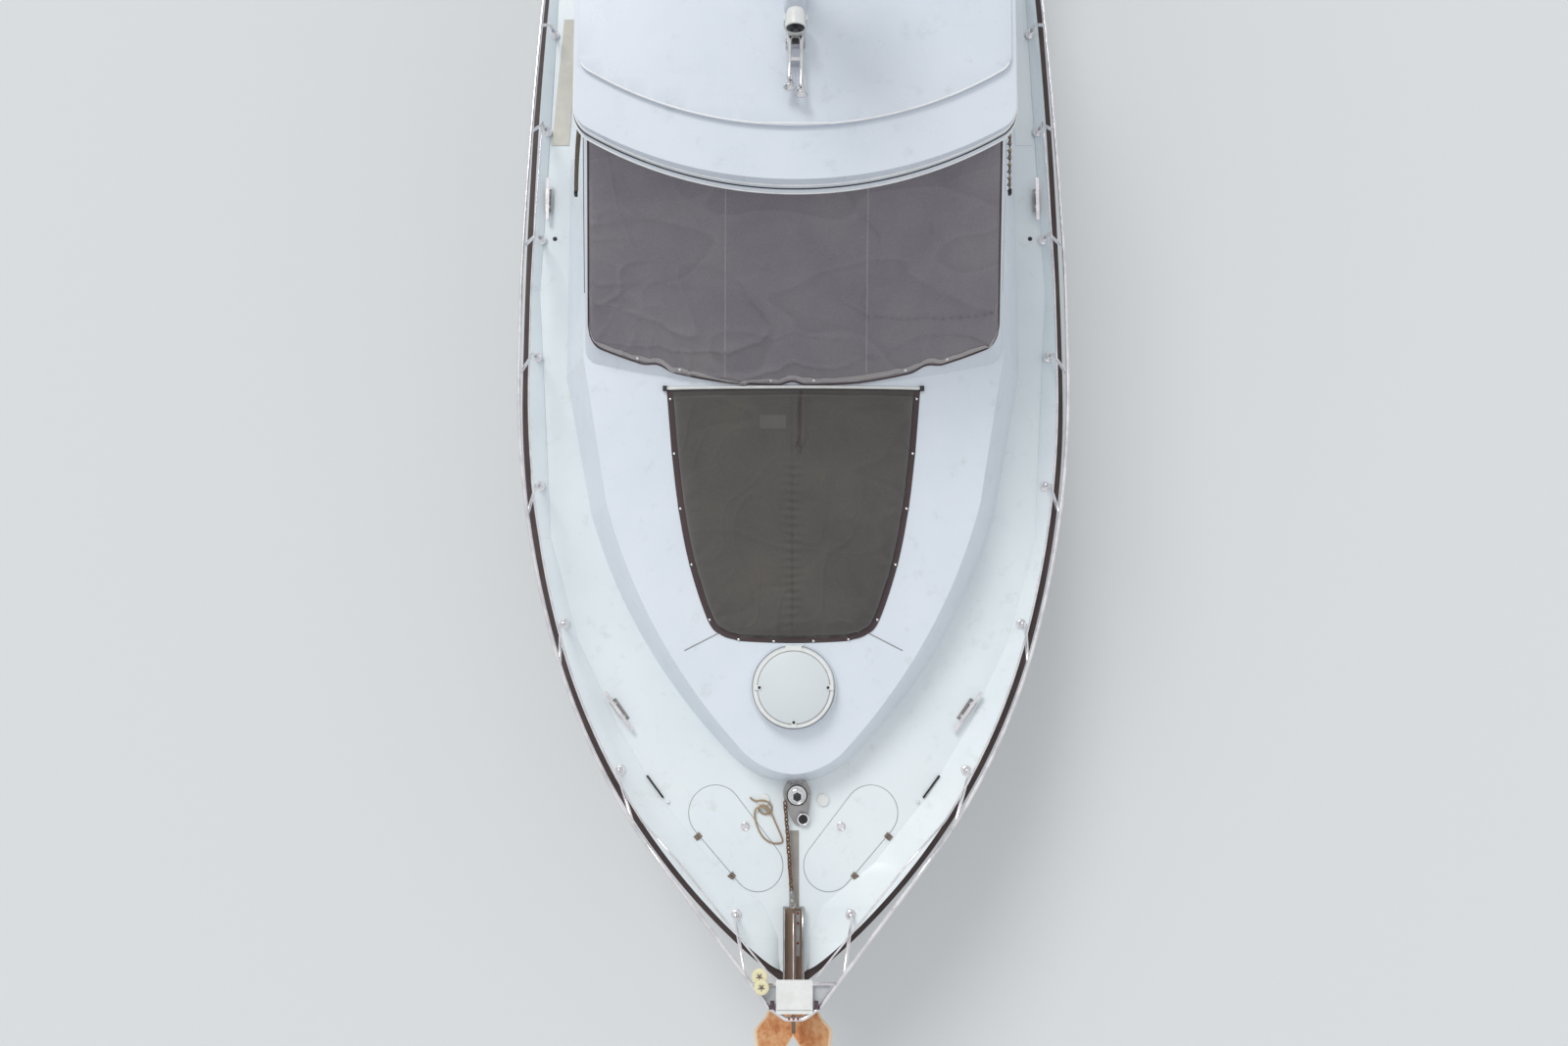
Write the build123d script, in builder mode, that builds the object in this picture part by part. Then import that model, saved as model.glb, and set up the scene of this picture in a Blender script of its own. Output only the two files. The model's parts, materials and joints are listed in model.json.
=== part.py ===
from build123d import *
import math
import os

# Motor yacht, millimetres. Origin at the waterline, amidships on the centreline.
# +X runs to the bow, +Y to port, +Z up.

os.makedirs("parts", exist_ok=True)

# Sheer line in side view: one long arc
sheer_low_x = -5100
sheer_low_z = 1137
sheer_radius = 121700

# Deck edge in plan: stern line, midship arc, shoulder arc, bow arc
transom_x = -6000
aft_line_x = -1500
widest_x = 1300
max_half_beam = 2128
midship_radius = 45000
shoulder_start_x = 2100
shoulder_end_x = 4100
shoulder_half_beam = 1800
stem_x = 6560
stem_half_width = 45

# Hull body
chine_flat = 50
hull_margin = 40
deck_thickness = 30
rub_rail_width = 65
rub_rail_height = 75

# Raised trunk of the foredeck
trunk_floor_z = 1200
trunk_slope = 22
trunk_nose_x = 5344
trunk_aft_x = 100
trunk_camber_radius = 9000

# Deckhouse, measured at its base height and raked from there
cabin_floor_z = 1000
cabin_base_z = 2130
cabin_top_z = 3330
cabin_front_x = 2220
cabin_corner_x = 1893
cabin_half_width = 1540
front_rake = 1.019
corner_rake = 0.956
tumblehome = 0.164
cabin_aft_x = -2600
wall = 45
glass_thickness = 10
glass_inset = 15
saloon_sole_z = 1000
corner_radius = 150
door_opening_width = 700
door_top_z = 2950
door_travel = 680

# Hardtop
roof_front_x = 1226
roof_half_width = 1385
roof_aft_x = -3700
roof_camber_radius = 16000

# Cockpit
cockpit_front_x = -2600
cockpit_aft_x = -5880
cockpit_half_width = 1420
cockpit_sole_z = 600
sole_thickness = 30

# Rails
rail_tube = 28
mid_tube = 14
rail_height = 630
rail_inset = 70
stanchion_rake = 285

# Inside and windows of the deckhouse
dash_x = 1400
dash_z = 2060
front_overlap = 220
screen_low_z = 2290
screen_high_z = 3180
screen_margin = 150
window_low_z = 2160
window_high_z = 2980
panel_height = 24
channel_half_width = 78

# Foredeck openings
locker_floor_z = 1330
locker_ledge = 18
locker_ends = (
    # x, y, end radius
    (5400, 590, 205),
    (5785, 265, 190),
)
hatch_x = 4435
hatch_radius = 290
well_radius = 235
well_floor_z = 1300

hatch_seat_z = 1985
hatch_thickness = 30
hatch_glass_radius = 240
hinge_out = 8
hinge_lift = 9
spindle_radius = 14
barrel_radius = 8
barrel_length = 40

# Covers
cover_low_z = 1900
cover_high_z = 3240
cover_gap = 0.5
cover_thickness = 8
pad_thickness = 90

# Cockpit fittings
engine_space = ((-4900, -1000, -150), (-3000, 1000, cockpit_sole_z + 5))
gate_low_y = -1250
gate_width = 620
gate_sill = 40

engine_size = (1050, 620, 640)
engine_place = (-3900, 520)

# Running gear
shaft_side = 620
shaft_angle = 8
shaft_radius = 23
shaft_length = 2250
propeller_x = -5350
propeller_z = -730
propeller_radius = 270
rudder_x = -5790
rudder_stock_radius = 26
rudder_top_z = -180

# Clearances
running_gap = 5
seat_gap = 0.3
bore_gap = 0.05


def sheer_z(x, lift=0):
    drop = math.sqrt(sheer_radius**2 - (x - sheer_low_x) ** 2)
    return sheer_low_z + sheer_radius - drop + lift


def tangent_circle(start, heading, end):
    """Centre and radius of the circle that leaves start along heading and meets end."""
    normal = (heading[1], -heading[0])
    dx = end[0] - start[0]
    dy = end[1] - start[1]
    radius = (dx * dx + dy * dy) / (2 * (dx * normal[0] + dy * normal[1]))
    return start[0] + radius * normal[0], start[1] + radius * normal[1], radius


def circle_y(circle, x):
    return circle[1] + math.sqrt(max(0.0, circle[2] ** 2 - (x - circle[0]) ** 2))


def circle_heading(circle, x):
    rise = circle_y(circle, x) - circle[1]
    return rise / circle[2], -(x - circle[0]) / circle[2]


midship = (widest_x, max_half_beam - midship_radius, midship_radius)
shoulder = tangent_circle(
    (shoulder_start_x, circle_y(midship, shoulder_start_x)),
    circle_heading(midship, shoulder_start_x),
    (shoulder_end_x, shoulder_half_beam),
)
bow = tangent_circle(
    (shoulder_end_x, shoulder_half_beam),
    circle_heading(shoulder, shoulder_end_x),
    (stem_x, stem_half_width),
)


def half_beam(x):
    if x < aft_line_x:
        run, rise = circle_heading(midship, aft_line_x)
        return circle_y(midship, aft_line_x) + (x - aft_line_x) * rise / run
    if x < shoulder_start_x:
        return circle_y(midship, x)
    if x < shoulder_end_x:
        return circle_y(shoulder, x)
    return circle_y(bow, min(x, stem_x))


def edge_point(x):
    return (x, half_beam(x))


def deck_plan(aft_x=transom_x):
    with BuildSketch() as plan:
        with BuildLine():
            Polyline((aft_x, 0), edge_point(aft_x), edge_point(aft_line_x))
            for low, high in (
                (aft_line_x, shoulder_start_x),
                (shoulder_start_x, shoulder_end_x),
                (shoulder_end_x, stem_x),
            ):
                ThreePointArc(edge_point(low), edge_point((low + high) / 2), edge_point(high))
            Line(edge_point(stem_x), (stem_x, 0))
            mirror(about=Plane.XZ)
        make_face()
    return plan.sketch


def plan_prism(face, low, high, grow=0, taper=0):
    with BuildPart() as prism:
        with BuildSketch(Plane.XY.offset(low)):
            add(face)
            if grow:
                offset(amount=grow, kind=Kind.INTERSECTION)
        extrude(amount=high - low, taper=taper)
    return prism.part


def lengthwise_slab(low, high):
    """Block between two side-view arcs, each given as three (x, z) points, over the whole beam."""
    with BuildPart() as slab:
        with BuildSketch(Plane.XZ):
            with BuildLine():
                bottom = ThreePointArc(*low)
                top = ThreePointArc(*high)
                Line(bottom @ 0, top @ 0)
                Line(bottom @ 1, top @ 1)
            make_face()
        extrude(amount=2600, both=True)
    return slab.part


def sheer_points(lift_aft, lift_bow=None):
    if lift_bow is None:
        lift_bow = lift_aft
    return [
        (x, sheer_z(x, lift_aft + (lift_bow - lift_aft) * share))
        for x, share in ((-6500, 0), (300, 0.5), (7100, 1))
    ]


def cambered_block(crown, floor_z, camber_radius):
    """Block under a side-view arc of three (x, z) points, its top turned about a low fore-and-aft axis."""
    axis_z = crown[1][1] - camber_radius
    half_angle = math.degrees(2300 / camber_radius)
    tilt = math.radians(half_angle)
    side = Plane(
        origin=(0, 0, axis_z),
        x_dir=(1, 0, 0),
        z_dir=(0, -math.cos(tilt), math.sin(tilt)),
    )
    with BuildPart() as block:
        with BuildSketch(side):
            with BuildLine():
                top = ThreePointArc(*[(x, z - axis_z) for x, z in crown])
                foot_x = (crown[2][0], crown[0][0])
                Polyline(
                    top @ 1,
                    (foot_x[0], floor_z - axis_z),
                    (foot_x[1], floor_z - axis_z),
                    top @ 0,
                )
            make_face()
        revolve(axis=Axis((0, 0, axis_z), (1, 0, 0)), revolution_arc=2 * half_angle)
    return block.part


def keep(part, name):
    part.label = name
    export_step(part, f"parts/{name}.step")
    print(name, len(part.solids()), round(part.volume / 1e6, 2), "litres")


# Hull: sections from the transom to the stem, cut off at the sheer
hull_sections = (
    # x, keel z, chine half breadth, chine z, topside bulge
    (-6000, -560, 1600, -80, 15),
    (-3000, -640, 1770, -60, 20),
    (0, -680, 1850, -10, 15),
    (2500, -620, 1720, 130, -10),
    (4200, -420, 1240, 400, -50),
    (5300, -90, 680, 760, -75),
    (6000, 520, 300, 1120, -50),
    (6350, 1080, 120, 1420, -20),
    (6545, 1520, 30, 1600, -3),
)


def hull_section(x, keel_z, chine_y, chine_z, bulge):
    top = (half_beam(x), sheer_z(x, hull_margin))
    chine = (chine_y, chine_z)
    flat = min(chine_flat, 0.2 * chine_y)
    inner = (chine_y - flat, chine_z - 0.25 * flat)
    middle = ((top[0] + chine[0]) / 2 + bulge, (top[1] + chine[1]) / 2)
    with BuildSketch(Plane(origin=(x, 0, 0), x_dir=(0, 1, 0), z_dir=(1, 0, 0))) as section:
        with BuildLine():
            Polyline((0, keel_z), inner, chine)
            ThreePointArc(chine, middle, top)
            Line(top, (0, top[1]))
            mirror(about=Plane.YZ)
        make_face()
    return section.sketch.faces()[0]


below_sheer = lengthwise_slab(sheer_points(-3000), sheer_points(0))

with BuildPart() as hull_body:
    loft(sections=[hull_section(*row) for row in hull_sections], ruled=True)
    add(below_sheer, mode=Mode.INTERSECT)


def box_between(low, high):
    with BuildPart() as block:
        with Locations(tuple((a + b) / 2 for a, b in zip(low, high))):
            Box(*[b - a for a, b in zip(low, high)])
    return block.part


# Deckhouse envelope: a block between a floor outline and a narrower roof outline
def cabin_block(inset):
    with BuildPart() as block:
        for z in (cabin_floor_z, cabin_top_z):
            rise = z - cabin_base_z
            front_x = cabin_front_x - front_rake * rise - inset
            side_x = cabin_corner_x - corner_rake * rise - inset
            y = cabin_half_width - tumblehome * rise - inset
            aft_x = cabin_aft_x + inset
            with BuildSketch(Plane.XY.offset(z)) as outline:
                with BuildLine():
                    ThreePointArc((side_x, y), (front_x, 0), (side_x, -y))
                    Polyline((side_x, y), (aft_x, y), (aft_x, -y), (side_x, -y))
                make_face()
                fillet(outline.vertices().sort_by(Axis.X)[-2:], radius=corner_radius)
        loft(ruled=True)
    return block.part


def side_prism(points, low_y, high_y):
    """Block between two y values over a side-view outline of (x, z) points."""
    with BuildPart() as block:
        with BuildSketch(Plane.XZ.offset(-high_y)):
            with BuildLine():
                Polyline(*points, close=True)
            make_face()
        extrude(amount=high_y - low_y)
    return block.part


def cabin_corner(z):
    return cabin_corner_x - corner_rake * (z - cabin_base_z)


cabin_outer = cabin_block(0)
cabin_inner = cabin_block(wall)
cabin_hollow = cabin_inner & box_between((-9000, -2500, saloon_sole_z), (9000, 2500, 9000))
cabin_hollow = cabin_hollow - box_between((dash_x, -2500, 0), (9000, 2500, dash_z))
doorway = box_between(
    (cabin_aft_x - 200, -door_opening_width / 2, saloon_sole_z),
    (cabin_aft_x + 200, door_opening_width / 2, door_top_z),
)

# Trunk envelope: sloped sides under a cambered top
trunk_nose_shoulder = (5268, 322)
trunk_crown = ((5500, 1790), (3300, 2045), (-200, 2190))
trunk_side = (
    # x, half width at the trunk floor
    (5050, 612),
    (4270, 1206),
    (3142, 1692),
    (2000, 1900),
    (trunk_aft_x, 1880),
)


def trunk_plan():
    nose = trunk_side[0]
    with BuildSketch() as plan:
        with BuildLine():
            ThreePointArc((trunk_nose_x, 0), trunk_nose_shoulder, nose)
            ThreePointArc(*trunk_side[0:3])
            Polyline(trunk_side[2], trunk_side[3], trunk_side[4], (trunk_side[4][0], 0))
            mirror(about=Plane.XZ)
        make_face()
    return plan.sketch


trunk_prism = plan_prism(trunk_plan(), trunk_floor_z, 2400, taper=trunk_slope)
trunk_solid = trunk_prism & cambered_block(trunk_crown, 1000, trunk_camber_radius)
deck_edge = plan_prism(deck_plan(), 0, 3000)
deck_slab = lengthwise_slab(sheer_points(0), sheer_points(deck_thickness))
below_deck_top = lengthwise_slab(sheer_points(-3000), sheer_points(deck_thickness))


# Foredeck openings: anchor lockers under stadium lids, and the well under the round hatch
def stadium(side, shrink):
    with BuildSketch() as shape:
        for x, y, r in locker_ends:
            with Locations((x, side * y)):
                Circle(r - shrink)
        make_hull()
    return shape.sketch


def locker_prism(side, shrink, low, high):
    return plan_prism(stadium(side, shrink), low, high)


def upright(x, y, radius, low, high):
    with BuildPart() as rod:
        with BuildSketch(Plane.XY.offset(low)):
            with Locations((x, y)):
                Circle(radius)
        extrude(amount=high - low)
    return rod.part


def shaft_plane(side, along=0):
    tilt = math.radians(shaft_angle)
    start = (
        propeller_x + along * math.cos(tilt),
        side * shaft_side,
        propeller_z + along * math.sin(tilt),
    )
    return Plane(origin=start, x_dir=(0, 1, 0), z_dir=(math.cos(tilt), 0, math.sin(tilt)))


def shaft_rod(side, radius, low, high):
    with BuildPart() as rod:
        with BuildSketch(shaft_plane(side, low)):
            Circle(radius)
        extrude(amount=high - low)
    return rod.part


# Hull
gate_cut = box_between(
    (transom_x - 300, gate_low_y, cockpit_sole_z + gate_sill),
    (cockpit_aft_x + 10, gate_low_y + gate_width, 3000),
)
cockpit_cut = box_between(
    (cockpit_aft_x, -cockpit_half_width, cockpit_sole_z),
    (cockpit_front_x, cockpit_half_width, 3000),
)
with BuildPart() as hull:
    add(hull_body.part)
    add(cabin_hollow, mode=Mode.SUBTRACT)
    add(doorway, mode=Mode.SUBTRACT)
    add(cockpit_cut, mode=Mode.SUBTRACT)
    add(box_between(*engine_space), mode=Mode.SUBTRACT)
    add(gate_cut, mode=Mode.SUBTRACT)
    add(upright(hatch_x, 0, well_radius, well_floor_z, 3000), mode=Mode.SUBTRACT)
    for side in (1, -1):
        add(locker_prism(side, locker_ledge, locker_floor_z, 3000), mode=Mode.SUBTRACT)
        add(shaft_rod(side, shaft_radius + bore_gap, 0, shaft_length + 10), mode=Mode.SUBTRACT)
        add(
            upright(rudder_x, side * shaft_side, rudder_stock_radius + bore_gap, -900, rudder_top_z + 10),
            mode=Mode.SUBTRACT,
        )
keep(hull.part, "hull")


# Deck moulding with its openings
with BuildPart() as deck:
    add(deck_slab & deck_edge)
    add(trunk_prism, mode=Mode.SUBTRACT)
    add(cabin_outer, mode=Mode.SUBTRACT)
    add(cockpit_cut, mode=Mode.SUBTRACT)
    add(gate_cut, mode=Mode.SUBTRACT)
    for side in (1, -1):
        add(locker_prism(side, 0, 1000, 3000), mode=Mode.SUBTRACT)
keep(deck.part, "deck")

# Raised gunwale: a sloped margin outside the deck's inner knuckle
gunwale_sections = (
    # x, inner edge inset from the deck edge, outer height
    (-6000, 60, 30),
    (aft_line_x, 60, 40),
    (widest_x, 60, 45),
    (3300, 85, 50),
    (4100, 125, 60),
    (4760, 195, 70),
    (5276, 232, 80),
    (5752, 285, 85),
    (6066, 400, 85),
    (6300, 255, 85),
    (6600, 60, 85),
)


def gunwale_side(side):
    faces = []
    for x, inset, height in gunwale_sections:
        edge = half_beam(x)
        inner = max(edge - inset, channel_half_width + 12)
        base = sheer_z(x, deck_thickness)
        slope = height / inset
        points = (
            (inner, base - 15),
            (inner, base + 2),
            (edge + 40, base + 2 + slope * (inset + 40)),
            (edge + 40, base - 15),
        )
        with BuildSketch(Plane(origin=(x, 0, 0), x_dir=(0, 1, 0), z_dir=(1, 0, 0))) as section:
            with BuildLine():
                Polyline(*[(side * y, z) for y, z in points], close=True)
            make_face()
        faces.append(section.sketch.faces()[0])
    return faces


with BuildPart() as gunwale:
    for side in (1, -1):
        loft(sections=gunwale_side(side), ruled=True)
    add(deck_edge, mode=Mode.INTERSECT)
    add(below_deck_top, mode=Mode.SUBTRACT)
    add(gate_cut, mode=Mode.SUBTRACT)
keep(gunwale.part, "gunwale")

# Rubber rub rail over the joint of hull and deck
rail_band = lengthwise_slab(sheer_points(-rub_rail_height + 15), sheer_points(15))
with BuildPart() as rub_rail:
    add(plan_prism(deck_plan(), 0, 3000, grow=rub_rail_width) & rail_band)
    add(hull_body.part, mode=Mode.SUBTRACT)
    add(deck_edge & deck_slab, mode=Mode.SUBTRACT)
    add(gate_cut, mode=Mode.SUBTRACT)
keep(rub_rail.part, "rub_rail")

# Trunk of the foredeck
with BuildPart() as trunk:
    add(trunk_solid)
    add(below_sheer, mode=Mode.SUBTRACT)
    add(cabin_hollow, mode=Mode.SUBTRACT)
    add(upright(hatch_x, 0, well_radius, well_floor_z, 3000), mode=Mode.SUBTRACT)
keep(trunk.part, "trunk")

# Deckhouse walls: the shell between the two envelopes, parted at the front corners
shell = cabin_outer - cabin_inner - trunk_solid - below_sheer
front_part = side_prism(
    (
        (cabin_corner(1000) - front_overlap, 1000),
        (cabin_corner(3400) - front_overlap, 3400),
        (5000, 3400),
        (5000, 1000),
    ),
    -2500,
    2500,
)
aft_part = box_between((cabin_aft_x - 10, -2500, 0), (cabin_aft_x + wall, 2500, 9000))


def cabin_y(z):
    return cabin_half_width - tumblehome * (z - cabin_base_z)


def front_prism(low_z, high_z, margin, centre_gap, low_x, high_x):
    """Block along X over the front view of a windscreen: two panes beside a centre post."""
    with BuildPart() as block:
        with BuildSketch(Plane.YZ.offset(low_x)):
            for side in (1, -1):
                with BuildLine():
                    Polyline(
                        (side * centre_gap, low_z),
                        (side * (cabin_y(low_z) - margin), low_z),
                        (side * (cabin_y(high_z) - margin), high_z),
                        (side * centre_gap, high_z),
                        close=True,
                    )
                make_face()
        extrude(amount=high_x - low_x)
    return block.part


screen_opening = front_prism(screen_low_z, screen_high_z, screen_margin, 35, 300, 3500)
side_panes = (
    # aft x, front x at the sill
    (-2300, -1250),
    (-1190, -140),
    (-80, 1560),
)


def pane_points(aft_x, front_x, last):
    lean = corner_rake * (window_high_z - window_low_z) if last else 0
    return (
        (aft_x, window_low_z),
        (front_x, window_low_z),
        (front_x - lean, window_high_z),
        (aft_x, window_high_z),
    )


def window_block(side):
    low_y, high_y = sorted((side * 1000, side * 2000))
    blocks = [
        side_prism(pane_points(aft_x, front_x, (aft_x, front_x) == side_panes[-1]), low_y, high_y)
        for aft_x, front_x in side_panes
    ]
    return blocks


with BuildPart() as windscreen_frame:
    add(shell & front_part)
    add(screen_opening, mode=Mode.SUBTRACT)
keep(windscreen_frame.part, "windscreen_frame")

with BuildPart() as windscreen_glass:
    add(cabin_block(glass_inset) - cabin_block(glass_inset + glass_thickness))
    add(screen_opening, mode=Mode.INTERSECT)
keep(windscreen_glass.part, "windscreen_glass")

sides = (("port", 1), ("starboard", -1))
for name, side in sides:
    half = box_between(*sorted(((-9000, 0, 0), (9000, side * 2500, 9000)))) if side > 0 else (
        box_between((-9000, -2500, 0), (9000, 0, 9000))
    )
    with BuildPart() as cabin_side:
        add((shell - front_part - aft_part) & half)
        for block in window_block(side):
            add(block, mode=Mode.SUBTRACT)
    keep(cabin_side.part, f"cabin_side_{name}")
    with BuildPart() as side_glass:
        for block in window_block(side):
            add(block)
        add(cabin_block(glass_inset) - cabin_block(glass_inset + glass_thickness), mode=Mode.INTERSECT)
    keep(side_glass.part, f"side_glass_{name}")

door_x = cabin_aft_x - 6
door_low_y = -door_opening_width / 2 - 25
door_high_y = door_opening_width / 2 + 25
door_head_z = door_top_z + 30
with BuildPart() as aft_bulkhead:
    add(shell & aft_part)
    add(doorway, mode=Mode.SUBTRACT)
    add(
        box_between(
            (door_x - 44, door_low_y - 15, door_head_z + seat_gap),
            (cabin_aft_x, door_high_y + door_travel + 15, door_head_z + 40),
        )
    )
keep(aft_bulkhead.part, "aft_bulkhead")


# Hardtop: a brow that overhangs the windscreen, and a raised panel inside its rim
def roof_plan(front_x, side_y, aft_x, corner_x, radius):
    with BuildSketch() as plan:
        with BuildLine():
            ThreePointArc((corner_x, side_y), (front_x, 0), (corner_x, -side_y))
            Polyline((corner_x, side_y), (aft_x, side_y), (aft_x, -side_y), (corner_x, -side_y))
        make_face()
        fillet(plan.vertices().sort_by(Axis.X)[-2:], radius=radius)
        fillet(plan.vertices().sort_by(Axis.X)[:2], radius=radius)
    return plan.sketch


roof_crown = ((1400, 3440), (-500, 3510), (-3900, 3460))
roof_block = cambered_block(roof_crown, 3000, roof_camber_radius)
roof_outline = roof_plan(roof_front_x, roof_half_width, roof_aft_x, roof_front_x - 400, 160)
with BuildPart() as roof:
    add(plan_prism(roof_outline, cabin_top_z, 3800) & roof_block)
keep(roof.part, "roof")

panel_outline = roof_plan(900, 1352, roof_aft_x + 40, 490, 120)
panel_block = cambered_block(
    [(x, z + panel_height) for x, z in roof_crown], 3000, roof_camber_radius + panel_height
)
with BuildPart() as roof_panel:
    add((plan_prism(panel_outline, cabin_top_z, 3800) & panel_block) - roof_block)
keep(roof_panel.part, "roof_panel")


# Windscreen cover: cloth over the screen from the trunk to the roof
cover_prism = front_prism(cover_low_z, cover_high_z, 12, 0, 300, 4200)
with BuildPart() as windscreen_cover:
    add(cabin_block(-cover_gap - cover_thickness) - cabin_block(-cover_gap))
    add(cover_prism, mode=Mode.INTERSECT)
    add(trunk_solid.moved(Location((0, 0, cover_gap))), mode=Mode.SUBTRACT)
    add(front_part, mode=Mode.INTERSECT)
keep(windscreen_cover.part, "windscreen_cover")

# Sunpad under its cover
pad_side = ((2250, 939), (3134, 842), (3950, 625), (4100, 405))


def pad_plan():
    with BuildSketch() as plan:
        with BuildLine():
            Line((pad_side[0][0], 0), pad_side[0])
            ThreePointArc(*pad_side[0:3])
            Polyline(pad_side[2], pad_side[3], (pad_side[3][0] + 15, 0))
            mirror(about=Plane.XZ)
        make_face()
    return plan.sketch


def lifted(crown, lift):
    return [(x, z + lift) for x, z in crown]


pad_low = cambered_block(lifted(trunk_crown, seat_gap), 1000, trunk_camber_radius + seat_gap)
pad_high = cambered_block(
    lifted(trunk_crown, seat_gap + pad_thickness), 1000, trunk_camber_radius + pad_thickness
)
with BuildPart() as sunpad:
    add((plan_prism(pad_plan(), 1700, 2300) & pad_high) - pad_low)
keep(sunpad.part, "sunpad")

# Round foredeck hatch on its wedge plinth
with BuildPart() as hatch_plinth:
    with BuildSketch(Plane.XY.offset(hatch_seat_z)):
        with Locations((hatch_x, 0)):
            Circle(hatch_radius + 20)
    extrude(amount=-200, taper=-12)
    with Locations((hatch_x - hatch_radius - 5, 0, hatch_seat_z - 45)):
        Box(46, 150, 90)
    add(trunk_solid, mode=Mode.SUBTRACT)
    add(upright(hatch_x, 0, well_radius, well_floor_z, 3000), mode=Mode.SUBTRACT)
keep(hatch_plinth.part, "hatch_plinth")

hatch_base_z = hatch_seat_z + seat_gap
hatch_hinge_x = hatch_x - hatch_radius - 12
with BuildPart() as hatch_frame:
    with BuildSketch(Plane.XY.offset(hatch_base_z)):
        with Locations((hatch_x, 0)):
            Circle(hatch_radius)
            Circle(hatch_glass_radius, mode=Mode.SUBTRACT)
    extrude(amount=hatch_thickness)
    with BuildSketch(Plane.XY.offset(hatch_base_z + 6)):
        with Locations((hatch_hinge_x + 20, 0)):
            Rectangle(44, 120)
    extrude(amount=12)
    with BuildSketch(Plane.XY.offset(hatch_base_z)):
        with Locations((hatch_x, 0)):
            Circle(hatch_glass_radius)
    extrude(amount=hatch_thickness, mode=Mode.SUBTRACT)
keep(hatch_frame.part, "hatch_frame")

with BuildPart() as hatch_glass:
    with BuildSketch(Plane.XY.offset(hatch_base_z + 8)):
        with Locations((hatch_x, 0)):
            Circle(hatch_glass_radius)
    extrude(amount=14)
keep(hatch_glass.part, "hatch_glass")

# Anchor-locker lids, flush in the deck, each on two hinges along its outer side
(near_x, near_y, near_r), (far_x, far_y, far_r) = locker_ends
lid_run = math.hypot(far_x - near_x, far_y - near_y)
outward = (-(far_y - near_y) / lid_run, (far_x - near_x) / lid_run)
hinge_shares = (0.22, 0.86)


def hinge_point(side, share, out):
    x = near_x + share * (far_x - near_x)
    y = near_y + share * (far_y - near_y)
    reach = near_r + share * (far_r - near_r) + out
    return x + outward[0] * reach, side * (y + outward[1] * reach)


def hinge_strip(side, share, low_out, high_out, low_lift, high_lift):
    """Strip across the lid's outer edge, between two reaches and two heights above the deck."""
    x1, y1 = hinge_point(side, share, low_out)
    x2, y2 = hinge_point(side, share, high_out)
    with BuildPart() as strip:
        with BuildSketch(Plane.XY.offset(1000)):
            with Locations(Location(((x1 + x2) / 2, (y1 + y2) / 2), math.degrees(math.atan2(y2 - y1, x2 - x1)))):
                Rectangle(high_out - low_out, 40)
        extrude(amount=1500)
        add(
            lengthwise_slab(
                sheer_points(deck_thickness + low_lift), sheer_points(deck_thickness + high_lift)
            ),
            mode=Mode.INTERSECT,
        )
    return strip.part


with BuildPart() as starboard_lid:
    add(deck_slab.moved(Location((0, 0, seat_gap))))
    add(locker_prism(-1, running_gap, 1000, 3000), mode=Mode.INTERSECT)
    for share in hinge_shares:
        add(hinge_strip(-1, share, -40, -running_gap - 2, -2, 2 * hinge_lift - 2))
        add(hinge_strip(-1, share, -40, hinge_out + 5, 2, 2 * hinge_lift - 2))
keep(starboard_lid.part, "locker_lid_starboard")
with BuildPart() as port_lid:
    add(starboard_lid.part.mirror(Plane.XZ))
keep(port_lid.part, "locker_lid_port")

# Bow roller channel through the stem head
roller_aft_x = 6075
roller_tip_x = 6760
channel_z = sheer_z(6300, deck_thickness)
with BuildPart() as bow_roller:
    for side in (1, -1):
        add(
            side_prism(
                (
                    (roller_aft_x, channel_z - 40),
                    (roller_aft_x, channel_z + 60),
                    (6500, channel_z + 105),
                    (roller_tip_x - 60, channel_z + 120),
                    (roller_tip_x, channel_z + 70),
                    (roller_tip_x, channel_z + 30),
                    (stem_x + 10, channel_z + 20),
                    (stem_x + 10, channel_z - 40),
                ),
                *sorted((side * channel_half_width, side * (channel_half_width - 8))),
            )
        )
    add(
        side_prism(
            (
                (roller_aft_x, channel_z - 40),
                (roller_aft_x, sheer_z(roller_aft_x, deck_thickness + 8)),
                (6640, sheer_z(6640, deck_thickness + 8)),
                (6640, sheer_z(6640, deck_thickness)),
                (stem_x + 10, sheer_z(stem_x, deck_thickness)),
                (stem_x + 10, channel_z - 40),
            ),
            -channel_half_width,
            channel_half_width,
        )
    )
    add(below_deck_top, mode=Mode.SUBTRACT)
    with BuildSketch(Plane.XZ.offset(-channel_half_width)):
        with Locations((6705, channel_z + 55)):
            Circle(32)
    extrude(amount=2 * channel_half_width)
keep(bow_roller.part, "bow_roller")

# Anchor: shank in the channel, plough blade hanging under the stem head
heel_x = 7130
heel_z = channel_z - 200
blade_tilt = math.radians(56)
blade_thickness = 14
blade_sections = (
    # run from the heel, half width, dish
    (0, 285, 130),
    (110, 235, 105),
    (330, 105, 45),
    (520, 14, 6),
)
blade_faces = []
for run, half_width, dish in blade_sections:
    blade_plane = Plane(
        origin=(heel_x - run * math.cos(blade_tilt), 0, heel_z - run * math.sin(blade_tilt)),
        x_dir=(0, 1, 0),
        z_dir=(-math.cos(blade_tilt), 0, -math.sin(blade_tilt)),
    )
    with BuildSketch(blade_plane) as blade_section:
        with BuildLine():
            Polyline(
                (0, 0),
                (half_width, -dish),
                (half_width, -dish - blade_thickness),
                (0, -blade_thickness),
                (-half_width, -dish - blade_thickness),
                (-half_width, -dish),
                close=True,
            )
        make_face()
    blade_faces.append(blade_section.sketch.faces()[0])
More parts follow.
